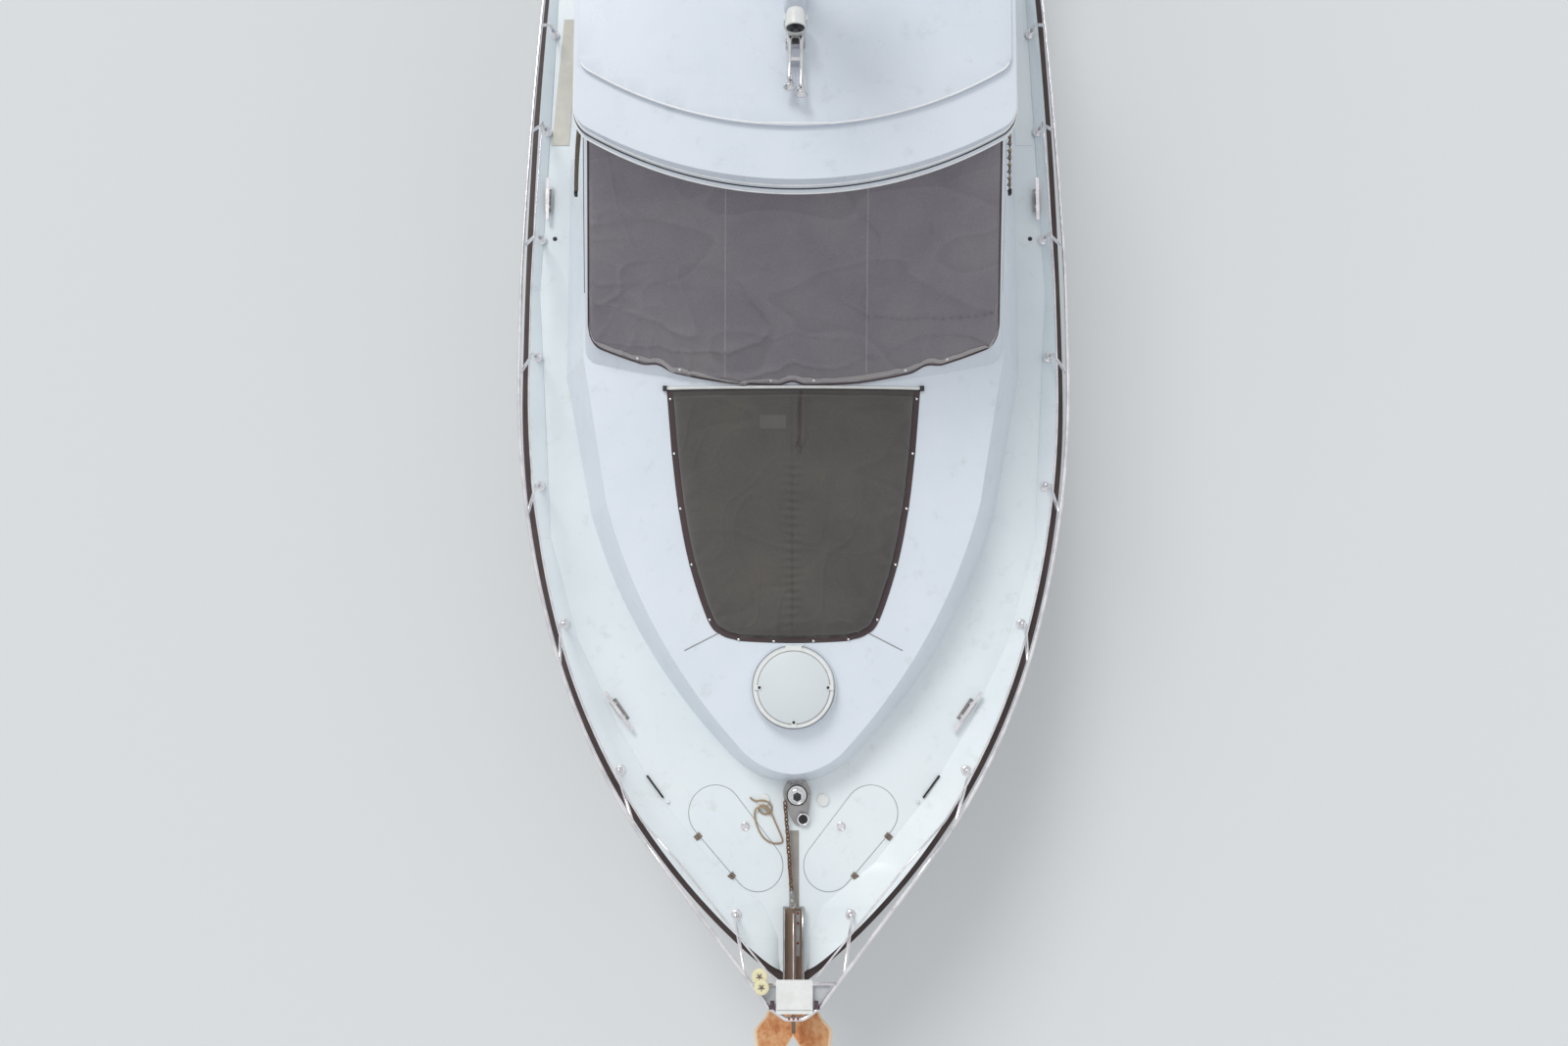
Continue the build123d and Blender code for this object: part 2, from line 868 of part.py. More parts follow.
with BuildPart() as anchor:
    loft(sections=blade_faces, ruled=True)
    add(
        side_prism(
            (
                (6090, channel_z + 96),
                (6760, channel_z + 118),
                (6900, channel_z + 60),
                (7024, channel_z - 346),
                (6979, channel_z - 412),
                (6850, channel_z + 35),
                (6740, channel_z + 88.3),
                (6090, channel_z + 70),
            ),
            -14,
            14,
        )
    )
keep(anchor.part, "anchor")

# Windlass and its chain
windlass_x = 5257
windlass_y = 28
windlass_z = sheer_z(windlass_x, deck_thickness)
with BuildPart() as windlass_base:
    with BuildSketch(Plane.XY.offset(windlass_z - 20)):
        with Locations((windlass_x, windlass_y)):
            Circle(105)
        with Locations((windlass_x + 170, windlass_y + 20)):
            Circle(62)
        make_hull()
    extrude(amount=62)
    add(below_deck_top, mode=Mode.SUBTRACT)
    add(trunk_solid, mode=Mode.SUBTRACT)
    with BuildSketch(Plane.XY.offset(windlass_z + 30)):
        with Locations((windlass_x, windlass_y)):
            Circle(spindle_radius)
    extrude(amount=70)
keep(windlass_base.part, "windlass_base")

drum_profile = (
    # radius, height
    (spindle_radius + bore_gap, 42.3),
    (74, 42.3),
    (78, 55),
    (58, 70),
    (78, 85),
    (78, 98),
    (50, 108),
    (42, 140),
    (58, 165),
    (58, 175),
    (0, 175),
    (0, 100.5),
    (spindle_radius + bore_gap, 100.5),
)
with BuildPart() as windlass_drum:
    with BuildSketch(Plane(origin=(windlass_x, windlass_y, windlass_z), x_dir=(1, 0, 0), z_dir=(0, -1, 0))):
        with BuildLine():
            Polyline(*drum_profile, close=True)
        make_face()
    revolve(axis=Axis((windlass_x, windlass_y, 0), (0, 0, 1)))
keep(windlass_drum.part, "windlass_drum")

chain_start = (windlass_x + 66, windlass_y - 88, windlass_z + 68)
chain_end = (6088, -8, channel_z + 84)
with BuildPart() as chain:
    with BuildSketch(Plane(origin=chain_start, z_dir=Vector(*chain_end) - Vector(*chain_start))):
        Circle(17)
    extrude(amount=(Vector(*chain_end) - Vector(*chain_start)).length - 1)
keep(chain.part, "chain")

# Foot switches beside the windlass
with BuildPart() as foot_switches:
    for y in (-225, 226):
        with BuildSketch(Plane.XY.offset(sheer_z(5305, deck_thickness) - 10)):
            with Locations((5305, y)):
                Circle(48)
        extrude(amount=32, taper=8)
    add(below_deck_top, mode=Mode.SUBTRACT)
keep(foot_switches.part, "foot_switches")

# Cleats: two on the foredeck, two amidships, two at the stern
cleat_places = ((4640, 1335, -36), (500, 2015, 0), (-5650, 1640, 4))
with BuildPart() as cleats:
    for x, y, turn in cleat_places:
        for side in (1, -1):
            base = Plane(
                origin=(x, side * y, sheer_z(x, deck_thickness)),
                x_dir=(math.cos(math.radians(turn)), side * math.sin(math.radians(turn)), 0),
                z_dir=(0, 0, 1),
            )
            with BuildSketch(base.offset(-20)):
                with Locations((-60, 0), (60, 0)):
                    Circle(17)
            extrude(amount=75)
            with BuildSketch(base.offset(50)):
                SlotOverall(360, 26)
            extrude(amount=24)
    add(below_deck_top, mode=Mode.SUBTRACT)
    add(gunwale.part, mode=Mode.SUBTRACT)
keep(cleats.part, "cleats")

# Guard rails: raked stanchions, top rail and mid rail
stanchion_x = (-977, -100, 837, 1838, 2895, 3980, 5082)
rail_end_x = -1500


def rail_y(x):
    return half_beam(x) - rail_inset


def rail_point(x, height, side):
    return (x, side * rail_y(x), sheer_z(x, deck_thickness + height))


def tube_between(start, end, diameter):
    run = Vector(*end) - Vector(*start)
    with BuildPart() as tube:
        with BuildSketch(Plane(origin=start, z_dir=run)):
            Circle(diameter / 2)
        extrude(amount=run.length)
    return tube.part


def bent_tube(points, radii, diameter):
    with BuildPart() as tube:
        with BuildLine() as path:
            FilletPolyline(*points, radius=radii)
        with BuildSketch(Plane(origin=path.line @ 0, z_dir=path.line % 0)):
            Circle(diameter / 2)
        sweep()
    return tube.part


rail_stations = (-1450, -400, 600, 1600, 2500, 3300, 4050, 4700, 5400)
for name, side in sides:
    foot = rail_point(-1650, 40, side)
    shoulder_point = rail_point(-1450, rail_height, side)
    points = [foot, shoulder_point] + [rail_point(x, rail_height, side) for x in rail_stations[1:]]
    radii = [150] + [900] * (len(points) - 3)
    with BuildPart() as guard_rail:
        add(bent_tube(points, radii, rail_tube))
        for x in stanchion_x[1:]:
            add(tube_between(rail_point(x, 5, side), rail_point(x + stanchion_rake * 0.9, rail_height, side), 24))
        add(below_deck_top, mode=Mode.SUBTRACT)
        add(gunwale.part, mode=Mode.SUBTRACT)
    keep(guard_rail.part, f"guard_rail_{name}")

# Pulpit round the stem, with its seat on the top rail
def pulpit_point(x, y, side):
    return (x, side * y, sheer_z(x, deck_thickness + rail_height))


pulpit_rail = (
    # x, half width
    (rail_stations[-1] + 8, rail_y(rail_stations[-1] + 8)),
    (5720, 850),
    (6040, 590),
    (6350, 340),
    (6560, 172),
    (6632, 60),
)
half_rail = [pulpit_point(x, y, 1) for x, y in pulpit_rail]
whole_rail = half_rail + [(x, -y, z) for x, y, z in reversed(half_rail)]
with BuildPart() as pulpit:
    add(bent_tube(whole_rail, [600, 900, 900, 250, 55, 55, 250, 900, 900, 600], rail_tube))
    for side in (1, -1):
        add(tube_between((6119, side * 425, sheer_z(6119, deck_thickness + 5)), pulpit_point(6352, 338, side), 24))
    add(tube_between(pulpit_point(6446, 262, 1), pulpit_point(6446, 262, -1), 20))
    add(below_deck_top, mode=Mode.SUBTRACT)
    add(gunwale.part, mode=Mode.SUBTRACT)
keep(pulpit.part, "pulpit")

seat_top = sheer_z(6615, deck_thickness + rail_height + rail_tube / 2 + seat_gap)
with BuildPart() as pulpit_seat:
    with BuildSketch(Plane.XY.offset(seat_top)):
        with Locations((6500, 0)):
            RectangleRounded(230, 250, 20)
    extrude(amount=22)
keep(pulpit_seat.part, "pulpit_seat")

# Mast, radome, searchlight and horns on the hardtop
radome_x = -400
roof_top_z = 3505 + panel_height
mast_sections = (
    # height above the roof, centre x, length, width, corner
    (-60, 118, 210, 160, 30),
    (40, 90, 180, 120, 30),
    (300, -60, 160, 80, 30),
    (900, -380, 130, 70, 25),
)
mast_faces = []
for height, x, length, width, corner in mast_sections:
    with BuildSketch(Plane.XY.offset(roof_top_z + height)) as mast_ring:
        with Locations((x, 0)):
            RectangleRounded(length, width, corner)
    mast_faces.append(mast_ring.sketch.faces()[0])
with BuildPart() as mast:
    loft(sections=mast_faces, ruled=True)
    add(panel_block, mode=Mode.SUBTRACT)
    with BuildSketch(Plane.XY.offset(roof_top_z + 880)):
        with Locations((radome_x, 0)):
            Ellipse(230, 180)
    extrude(amount=30)
keep(mast.part, "mast")

radome_z = roof_top_z + 910
radome_profile = ((0, 0), (210, 0), (300, 60), (300, 150), (240, 215), (120, 240), (0, 245))
with BuildPart() as radome:
    with BuildSketch(Plane(origin=(radome_x, 0, radome_z), x_dir=(1, 0, 0), z_dir=(0, -1, 0))):
        with BuildLine():
            Polyline(*radome_profile, close=True)
        make_face()
    revolve(axis=Axis((radome_x, 0, 0), (0, 0, 1)))
keep(radome.part, "radome")

light_x = 300
with BuildPart() as searchlight:
    add(upright(light_x, 0, 55, roof_top_z - 60, roof_top_z + 60))
    with BuildSketch(Plane.YZ.offset(light_x - 64)):
        with Locations((0, roof_top_z + 110)):
            Circle(62)
    extrude(amount=128)
    add(panel_block, mode=Mode.SUBTRACT)
keep(searchlight.part, "searchlight")

with BuildPart() as horns:
    for y, length in ((-36, 330), (36, 375)):
        with BuildSketch(Plane(origin=(372, y, roof_top_z + 45), x_dir=(0, 1, 0), z_dir=(1, 0, 0))):
            Circle(16)
        extrude(amount=length - 110)
        with BuildSketch(Plane(origin=(372 + length - 110, y, roof_top_z + 45), x_dir=(0, 1, 0), z_dir=(1, 0, 0))):
            Circle(16)
        extrude(amount=110, taper=-12)
    with Locations((392, 0, roof_top_z + 5)):
        Box(50, 120, 90)
    with Locations((520, 0, roof_top_z + 5)):
        Box(20, 96, 90)
    add(panel_block, mode=Mode.SUBTRACT)
keep(horns.part, "horns")

# Cockpit: sole with its engine hatch, seat, gate in the transom
engine_hatch_low = (-4700, -450)
engine_hatch_high = (-3250, 450)
with BuildPart() as cockpit_sole:
    add(
        box_between(
            (cockpit_aft_x, -cockpit_half_width, cockpit_sole_z),
            (cockpit_front_x, cockpit_half_width, cockpit_sole_z + sole_thickness),
        )
    )
    add(
        box_between(
            (engine_hatch_low[0], engine_hatch_low[1], 0),
            (engine_hatch_high[0], engine_hatch_high[1], 3000),
        ),
        mode=Mode.SUBTRACT,
    )
keep(cockpit_sole.part, "cockpit_sole")

hatch_rest_z = cockpit_sole_z + sole_thickness + seat_gap
hatch_overlap = 30
hatch_edge_x = engine_hatch_high[0] + hatch_overlap
hatch_axis = (hatch_edge_x + 10, hatch_rest_z + 12)
hatch_barrels = (-300, 300)


def cross_barrel(y, length):
    """Hinge barrel along Y on the axis of the engine hatch."""
    with BuildPart() as barrel:
        with BuildSketch(Plane.XZ.offset(-y - length)):
            with Locations(hatch_axis):
                Circle(barrel_radius)
        extrude(amount=length)
    return barrel.part


with BuildPart() as engine_hatch:
    add(
        box_between(
            (engine_hatch_low[0] - hatch_overlap, engine_hatch_low[1] - hatch_overlap, hatch_rest_z),
            (hatch_edge_x, engine_hatch_high[1] + hatch_overlap, hatch_rest_z + 25),
        )
    )
    for y in hatch_barrels:
        add(cross_barrel(y, barrel_length))
        add(
            box_between(
                (hatch_edge_x - 1, y, hatch_axis[1] - 3),
                (hatch_axis[0], y + barrel_length, hatch_axis[1] + 3),
            )
        )
keep(engine_hatch.part, "engine_hatch")

with BuildPart() as engines:
    for side in (1, -1):
        add(
            box_between(
                (engine_place[0] - engine_size[0] / 2, side * engine_place[1] - engine_size[1] / 2, -150),
                (
                    engine_place[0] + engine_size[0] / 2,
                    side * engine_place[1] + engine_size[1] / 2,
                    engine_size[2] - 150,
                ),
            )
        )
keep(engines.part, "engines")

seat_floor_z = cockpit_sole_z + sole_thickness
with BuildPart() as cockpit_seat:
    add(box_between((cockpit_aft_x, -560, seat_floor_z), (cockpit_aft_x + 560, 1300, seat_floor_z + 360)))
keep(cockpit_seat.part, "cockpit_seat")
with BuildPart() as cockpit_cushion:
    add(
        box_between(
            (cockpit_aft_x + 10, -550, seat_floor_z + 360 + seat_gap),
            (cockpit_aft_x + 550, 1290, seat_floor_z + 460),
        )
    )
keep(cockpit_cushion.part, "cockpit_cushion")

gate_low_z = cockpit_sole_z + gate_sill + running_gap
gate_axis = (transom_x - barrel_radius, gate_low_y + running_gap)
gate_barrels = (730, 990)
leaf_thickness = 5
leaf_width = 50
with BuildPart() as transom_gate:
    add(
        box_between(
            (transom_x, gate_low_y + running_gap, gate_low_z),
            (transom_x + 45, gate_low_y + gate_width - running_gap, sheer_z(transom_x, 10)),
        )
    )
    for z in gate_barrels:
        add(upright(*gate_axis, barrel_radius, z, z + barrel_length))
        add(
            box_between(
                (transom_x - leaf_thickness, gate_axis[1], z),
                (transom_x + 1, gate_axis[1] + leaf_width, z + barrel_length),
            )
        )
keep(transom_gate.part, "transom_gate")

# Fixed halves of the hinges of the gate and the engine hatch
with BuildPart() as hinge_leaves:
    for z in gate_barrels:
        low = z - barrel_length - seat_gap
        add(upright(*gate_axis, barrel_radius, low, z - seat_gap))
        add(
            box_between(
                (transom_x - leaf_thickness, gate_axis[1] - leaf_width, low),
                (transom_x, gate_axis[1] - running_gap, z - seat_gap),
            )
        )
    for y in hatch_barrels:
        low = y - barrel_length - seat_gap
        add(cross_barrel(low, barrel_length))
        add(
            box_between(
                (hatch_axis[0], low, cockpit_sole_z + sole_thickness),
                (hatch_axis[0] + leaf_width, y - seat_gap, cockpit_sole_z + sole_thickness + leaf_thickness),
            )
        )
        add(
            box_between(
                (hatch_axis[0] - 3, low, cockpit_sole_z + sole_thickness),
                (hatch_axis[0] + barrel_radius, y - seat_gap, hatch_axis[1]),
            )
        )
keep(hinge_leaves.part, "hinge_leaves")

# Swim platform
with BuildPart() as swim_platform:
    with BuildSketch(Plane.XY.offset(330)) as platform_shape:
        with Locations((transom_x - 430, 0)):
            Rectangle(860, 3200)
        fillet(platform_shape.vertices().sort_by(Axis.X)[:2], radius=260)
    extrude(amount=60)
    for y in (-1000, 1000):
        add(
            side_prism(
                ((transom_x, 330), (transom_x - 600, 330), (transom_x - 560, 300), (transom_x, 30)),
                y - 20,
                y + 20,
            )
        )
keep(swim_platform.part, "swim_platform")

# Sliding door of the saloon
with BuildPart() as saloon_door:
    add(
        box_between(
            (door_x - 36, door_low_y, saloon_sole_z + 6), (door_x, door_high_y, door_head_z)
        )
    )
    add(
        box_between(
            (door_x - 100, door_low_y + 70, saloon_sole_z + 300),
            (door_x + 10, door_high_y - 70, door_top_z - 60),
        ),
        mode=Mode.SUBTRACT,
    )
keep(saloon_door.part, "saloon_door")
with BuildPart() as door_glass:
    add(
        box_between(
            (door_x - 23, door_low_y + 70, saloon_sole_z + 300),
            (door_x - 13, door_high_y - 70, door_top_z - 60),
        )
    )
keep(door_glass.part, "door_glass")

# Inside of the saloon: helm console and seats
with BuildPart() as helm_console:
    add(
        side_prism(
            ((1100, saloon_sole_z), (1390, saloon_sole_z), (1390, 2050), (1250, 2050), (1100, 1850)),
            -1150,
            -350,
        )
    )
keep(helm_console.part, "helm_console")
with BuildPart() as saloon_seats:
    add(
        side_prism(
            ((300, saloon_sole_z), (820, saloon_sole_z), (820, 1650), (430, 1650), (380, 2150), (300, 2150)),
            -1150,
            -350,
        )
    )
    add(box_between((-2200, 700, saloon_sole_z), (300, 1300, saloon_sole_z + 450)))
keep(saloon_seats.part, "saloon_seats")

# Teak side decks aft of the trunk
teak_inner_y = 1705
with BuildPart() as side_deck_teak:
    for side in (1, -1):
        with BuildSketch(Plane.XY.offset(900)):
            with BuildLine():
                Polyline(
                    (cabin_aft_x, side * teak_inner_y),
                    (trunk_aft_x - 30, side * teak_inner_y),
                    (trunk_aft_x - 30, side * (half_beam(trunk_aft_x) - 85)),
                    (aft_line_x, side * (half_beam(aft_line_x) - 85)),
                    (cabin_aft_x, side * (half_beam(cabin_aft_x) - 85)),
                    close=True,
                )
            make_face()
        extrude(amount=1000)
    add(
        lengthwise_slab(sheer_points(deck_thickness), sheer_points(deck_thickness + 10)),
        mode=Mode.INTERSECT,
    )
keep(side_deck_teak.part, "side_deck_teak")

# Running gear: shafts, brackets, propellers, rudders
with BuildPart() as shaft_brackets:
    for side in (1, -1):
        add(shaft_rod(side, shaft_radius + 16, 180, 330))
        add(
            side_prism(
                ((propeller_x + 170, -700), (propeller_x + 330, -690), (propeller_x + 400, -300), (propeller_x + 270, -300)),
                side * shaft_side - 9,
                side * shaft_side + 9,
            )
        )
        add(shaft_rod(side, shaft_radius + bore_gap, 0, 600), mode=Mode.SUBTRACT)
    add(hull_body.part, mode=Mode.SUBTRACT)
keep(shaft_brackets.part, "shaft_brackets")

for name, side in sides:
    with BuildPart() as shaft:
        add(shaft_rod(side, shaft_radius, 60, shaft_length))
    keep(shaft.part, f"shaft_{name}")
    with BuildPart() as propeller:
        add(shaft_rod(side, 48, -90, 60))
        for turn in (0, 90, 180, 270):
            blade_plane = shaft_plane(side, -15)
            angle = math.radians(turn + 45)
            radial = blade_plane.x_dir * math.cos(angle) + blade_plane.y_dir * math.sin(angle)
            across = blade_plane.z_dir.cross(radial)
            pitch = math.radians(55)
            chord = across * math.sin(pitch) + blade_plane.z_dir * math.cos(pitch) * side
            with BuildSketch(
                Plane(origin=blade_plane.origin, x_dir=radial, z_dir=radial.cross(chord))
            ):
                with Locations((propeller_radius * 0.58, 0)):
                    Ellipse(propeller_radius * 0.42, 95)
            extrude(amount=5, both=True)
    keep(propeller.part, f"propeller_{name}")
    with BuildPart() as rudder:
        with BuildSketch(Plane.XY.offset(-470)):
            with Locations((rudder_x - 60, side * shaft_side)):
                Ellipse(190, 24)
        extrude(amount=-520)
        add(upright(rudder_x, side * shaft_side, rudder_stock_radius, -480, rudder_top_z))
    keep(rudder.part, f"rudder_{name}")
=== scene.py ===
import json
import math
import random

import bmesh
import bpy
from mathutils import Matrix, Vector, noise
from mathutils.bvhtree import BVHTree

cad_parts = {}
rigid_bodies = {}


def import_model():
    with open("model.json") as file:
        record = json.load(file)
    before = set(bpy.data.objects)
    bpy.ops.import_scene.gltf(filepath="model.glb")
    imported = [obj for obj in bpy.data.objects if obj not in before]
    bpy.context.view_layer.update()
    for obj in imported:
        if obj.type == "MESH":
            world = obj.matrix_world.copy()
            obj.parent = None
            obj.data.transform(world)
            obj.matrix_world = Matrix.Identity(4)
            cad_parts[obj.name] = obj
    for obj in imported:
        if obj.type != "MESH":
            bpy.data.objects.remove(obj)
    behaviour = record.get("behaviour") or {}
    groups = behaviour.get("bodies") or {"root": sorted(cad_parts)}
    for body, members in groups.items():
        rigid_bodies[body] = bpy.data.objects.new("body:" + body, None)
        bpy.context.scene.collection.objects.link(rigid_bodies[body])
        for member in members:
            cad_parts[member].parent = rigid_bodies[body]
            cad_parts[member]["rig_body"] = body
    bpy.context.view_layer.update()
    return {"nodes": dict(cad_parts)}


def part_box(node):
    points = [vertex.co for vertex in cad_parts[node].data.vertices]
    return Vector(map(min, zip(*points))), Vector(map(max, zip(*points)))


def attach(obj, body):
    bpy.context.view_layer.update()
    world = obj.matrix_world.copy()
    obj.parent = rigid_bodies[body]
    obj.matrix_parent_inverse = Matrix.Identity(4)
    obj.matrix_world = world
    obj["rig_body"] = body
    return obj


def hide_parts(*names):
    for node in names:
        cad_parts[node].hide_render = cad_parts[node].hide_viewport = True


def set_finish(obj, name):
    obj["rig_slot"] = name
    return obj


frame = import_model()
nodes = frame["nodes"]
random.seed(7)
boatSides = ((1, "port"), (-1, "starboard"))
print("frame loaded")


# the yacht's own lines, in metres

hullLines = {
    "sheerLow": (-5.1, 1.137), "sheerRadius": 121.7, "deckThickness": 0.03,
    "widest": (1.3, 2.128), "midshipRadius": 45.0, "aftLine": -1.5,
    "shoulder": (2.1, 4.1, 1.8), "stem": (6.56, 0.045),
}
crowns = {  # three points along each crown, and the radius it is cambered to
    "trunk": (((5.5, 1.79), (3.3, 2.045), (-0.2, 2.19)), 9.0),
    "roof": (((1.4, 3.44), (-0.5, 3.51), (-3.9, 3.46)), 16.0),
}


def deckZ(x, lift=0.0):
    lowX, lowZ = hullLines["sheerLow"]
    radius = hullLines["sheerRadius"]
    return lowZ + radius - math.sqrt(radius ** 2 - (x - lowX) ** 2) + hullLines["deckThickness"] + lift


def onDeck(x, y, lift=0.0):
    return Vector((x, y, deckZ(x, lift)))


def circleY(circle, x):
    return circle[1] + math.sqrt(max(0.0, circle[2] ** 2 - (x - circle[0]) ** 2))


def headingAt(circle, x):
    return (circleY(circle, x) - circle[1]) / circle[2], -(x - circle[0]) / circle[2]


def tangentCircle(start, heading, end):
    dx, dy = end[0] - start[0], end[1] - start[1]
    radius = (dx * dx + dy * dy) / (2 * (dx * heading[1] - dy * heading[0]))
    return start[0] + radius * heading[1], start[1] - radius * heading[0], radius


widestX, widestY = hullLines["widest"]
midship = (widestX, widestY - hullLines["midshipRadius"], hullLines["midshipRadius"])
shoulderX, shoulderEnd, shoulderY = hullLines["shoulder"]
shoulder = tangentCircle((shoulderX, circleY(midship, shoulderX)), headingAt(midship, shoulderX),
                         (shoulderEnd, shoulderY))
bow = tangentCircle((shoulderEnd, shoulderY), headingAt(shoulder, shoulderEnd), hullLines["stem"])


def halfBeam(x):
    aft = hullLines["aftLine"]
    if x < aft:
        run, rise = headingAt(midship, aft)
        return circleY(midship, aft) + (x - aft) * rise / run
    if x < shoulderX:
        return circleY(midship, x)
    return circleY(shoulder, x) if x < shoulderEnd else circleY(bow, min(x, hullLines["stem"][0]))


def arcZ(points, x):  # height at x of the circle through three (x, z) points
    (ax, az), (bx, bz), (cx, cz) = points
    d = 2 * (ax * (bz - cz) + bx * (cz - az) + cx * (az - bz))
    a2, b2, c2 = ax * ax + az * az, bx * bx + bz * bz, cx * cx + cz * cz
    ux = (a2 * (bz - cz) + b2 * (cz - az) + c2 * (az - bz)) / d
    uz = (a2 * (cx - bx) + b2 * (ax - cx) + c2 * (bx - ax)) / d
    return uz + math.sqrt(max(0.0, math.hypot(ax - ux, az - uz) ** 2 - (x - ux) ** 2))


def crownZ(name, x, y, lift=0.0):
    points, camber = crowns[name]
    axisZ = points[1][1] - camber
    return axisZ + math.sqrt((arcZ(points, x) - axisZ + lift) ** 2 - y * y)


def trunkZ(x, y, lift=0.0):
    return crownZ("trunk", x, y, lift)


# finishes

def tint(red, green, blue):  # a colour written as 0 to 255, as the shaders want it
    def linear(c):
        c /= 255
        return c / 12.92 if c <= 0.04045 else ((c + 0.055) / 1.055) ** 2.4
    return linear(red), linear(green), linear(blue), 1.0


def grey(level):
    return level, level, level, 1


def wire(tree, socket, value):  # a link from another node, or a plain value
    if isinstance(value, bpy.types.NodeSocket):
        tree.links.new(value, socket)
    else:
        socket.default_value = value


def addNode(tree, kind, **values):
    node = tree.nodes.new("ShaderNode" + kind)
    for label, value in values.items():
        wire(tree, node.inputs[label.replace("_", " ")], value)
    return node


def newFinish(name, colour, roughness=0.5, metallic=0.0, **sockets):
    finish = bpy.data.materials.new(name)
    finish.use_nodes = True
    shader = finish.node_tree.nodes["Principled BSDF"]
    shader.inputs["Base Color"].default_value = tint(*colour)
    shader.inputs["Roughness"].default_value = roughness
    shader.inputs["Metallic"].default_value = metallic
    for label, value in sockets.items():
        shader.inputs[label.replace("_", " ")].default_value = value
    return finish, finish.node_tree, shader


def place(tree, stretch=(1, 1, 1)):  # where a pattern falls, in metres of the row frame
    spot = tree.nodes.new("ShaderNodeTexCoord").outputs["Object"]
    return addNode(tree, "Mapping", Scale=stretch, Vector=spot).outputs["Vector"]


def cloud(tree, scale, detail=3.0, rough=0.5, stretch=(1, 1, 1)):
    return addNode(tree, "TexNoise", Scale=scale, Detail=detail, Roughness=rough,
                   Vector=place(tree, stretch)).outputs["Fac"]


def ramp(tree, source, stops):
    node = tree.nodes.new("ShaderNodeValToRGB")
    band = node.color_ramp
    while len(band.elements) < len(stops):
        band.elements.new(0.5)
    for element, (at, colour) in zip(band.elements, stops):
        element.position = at
        element.color = colour
    tree.links.new(source, node.inputs["Fac"])
    return node.outputs["Color"]


def shades(tree, source, colour, *steps):  # one colour, shifted by so much at each step
    return ramp(tree, source, [(at, tint(*[c + d for c, d in zip(colour, shift)])) for at, *shift in steps])


def spread(tree, source, low, high, fromLow=0.3, fromHigh=0.7):
    return addNode(tree, "MapRange", From_Min=fromLow, From_Max=fromHigh, To_Min=low, To_Max=high,
                   Value=source).outputs["Result"]


def multiplied(tree, first, second, factor=1.0, mode="MULTIPLY"):
    node = tree.nodes.new("ShaderNodeMix")
    node.data_type = "RGBA"
    node.blend_type = mode
    for k, value in ((0, factor), (6, first), (7, second)):
        wire(tree, node.inputs[k], value)
    return node.outputs[2]


def relief(tree, shader, source, strength, distance):  # on top of any bump the shader has already
    node = addNode(tree, "Bump", Strength=strength, Distance=distance, Height=source)
    for link in list(tree.links):
        if link.to_socket == shader.inputs["Normal"]:
            tree.links.new(link.from_socket, node.inputs["Normal"])
    tree.links.new(node.outputs["Normal"], shader.inputs["Normal"])


def calculate(tree, operation, first, second=0.0):
    node = tree.nodes.new("ShaderNodeMath")
    node.operation = operation
    wire(tree, node.inputs[0], first)
    wire(tree, node.inputs[1], second)
    return node.outputs[0]


def axisOf(tree, letter):
    return addNode(tree, "SeparateXYZ", Vector=place(tree)).outputs[letter]


def paint(tree, shader, colour, roughness=None):
    tree.links.new(colour, shader.inputs["Base Color"])
    if roughness:
        tree.links.new(roughness, shader.inputs["Roughness"])


def gelcoat(name, colour, roughness, stipple=0.0):  # weathered glass fibre, stippled on deck
    finish, tree, shader = newFinish(name, colour, roughness, Coat_Weight=0.25, Coat_Roughness=0.12)
    shade = shades(tree, cloud(tree, 0.9, 5, 0.6), colour, (0.3, -7, -6, -5), (0.55, 0, 0, 0),
                   (0.8, 4, 3, 2))
    grime = ramp(tree, cloud(tree, 7, 6, 0.65), ((0.28, (0.9, 0.9, 0.88, 1)), (0.42, grey(1))))
    paint(tree, shader, multiplied(tree, shade, grime),
          spread(tree, cloud(tree, 5, 4), roughness - 0.05, roughness + 0.13))
    relief(tree, shader, cloud(tree, 30, 2), 0.05, 0.002)
    if stipple:
        relief(tree, shader, cloud(tree, 420, 2), stipple, 0.001)
    return finish


def hullPaint(name, colour, stripe, antifouling):  # topsides, boot stripe and what lies under it
    finish, tree, shader = newFinish(name, colour, 0.22, Coat_Weight=0.4, Coat_Roughness=0.08)
    height = axisOf(tree, "Z")
    bands = ramp(tree, spread(tree, height, 0, 1, -0.7, 1.3), (
        (0.0, tint(*antifouling)), (0.352, tint(*antifouling)), (0.354, tint(*stripe)),
        (0.412, tint(*stripe)), (0.414, tint(*colour)), (1.0, tint(230, 233, 235))))
    dirt = ramp(tree, cloud(tree, 2.5, 6, 0.6, (1, 1, 0.25)), ((0.3, (0.9, 0.9, 0.87, 1)), (0.5, grey(1))))
    paint(tree, shader, multiplied(tree, bands, dirt), spread(tree, height, 0.75, 0.24, 0.0, 0.02))
    relief(tree, shader, cloud(tree, 18, 2), 0.04, 0.003)
    return finish


def metal(name, colour, roughness, grain, scale=60):
    finish, tree, shader = newFinish(name, colour, roughness, 1.0)
    rough = spread(tree, cloud(tree, scale, 5, 0.6), max(0.04, roughness - grain), roughness + grain)
    shade = shades(tree, cloud(tree, scale / 6, 4), colour, (0.3, -26, -26, -24), (0.6, 0, 0, 0))
    paint(tree, shader, shade, rough)
    relief(tree, shader, cloud(tree, scale * 4, 2), 0.03, 0.0005)
    return finish


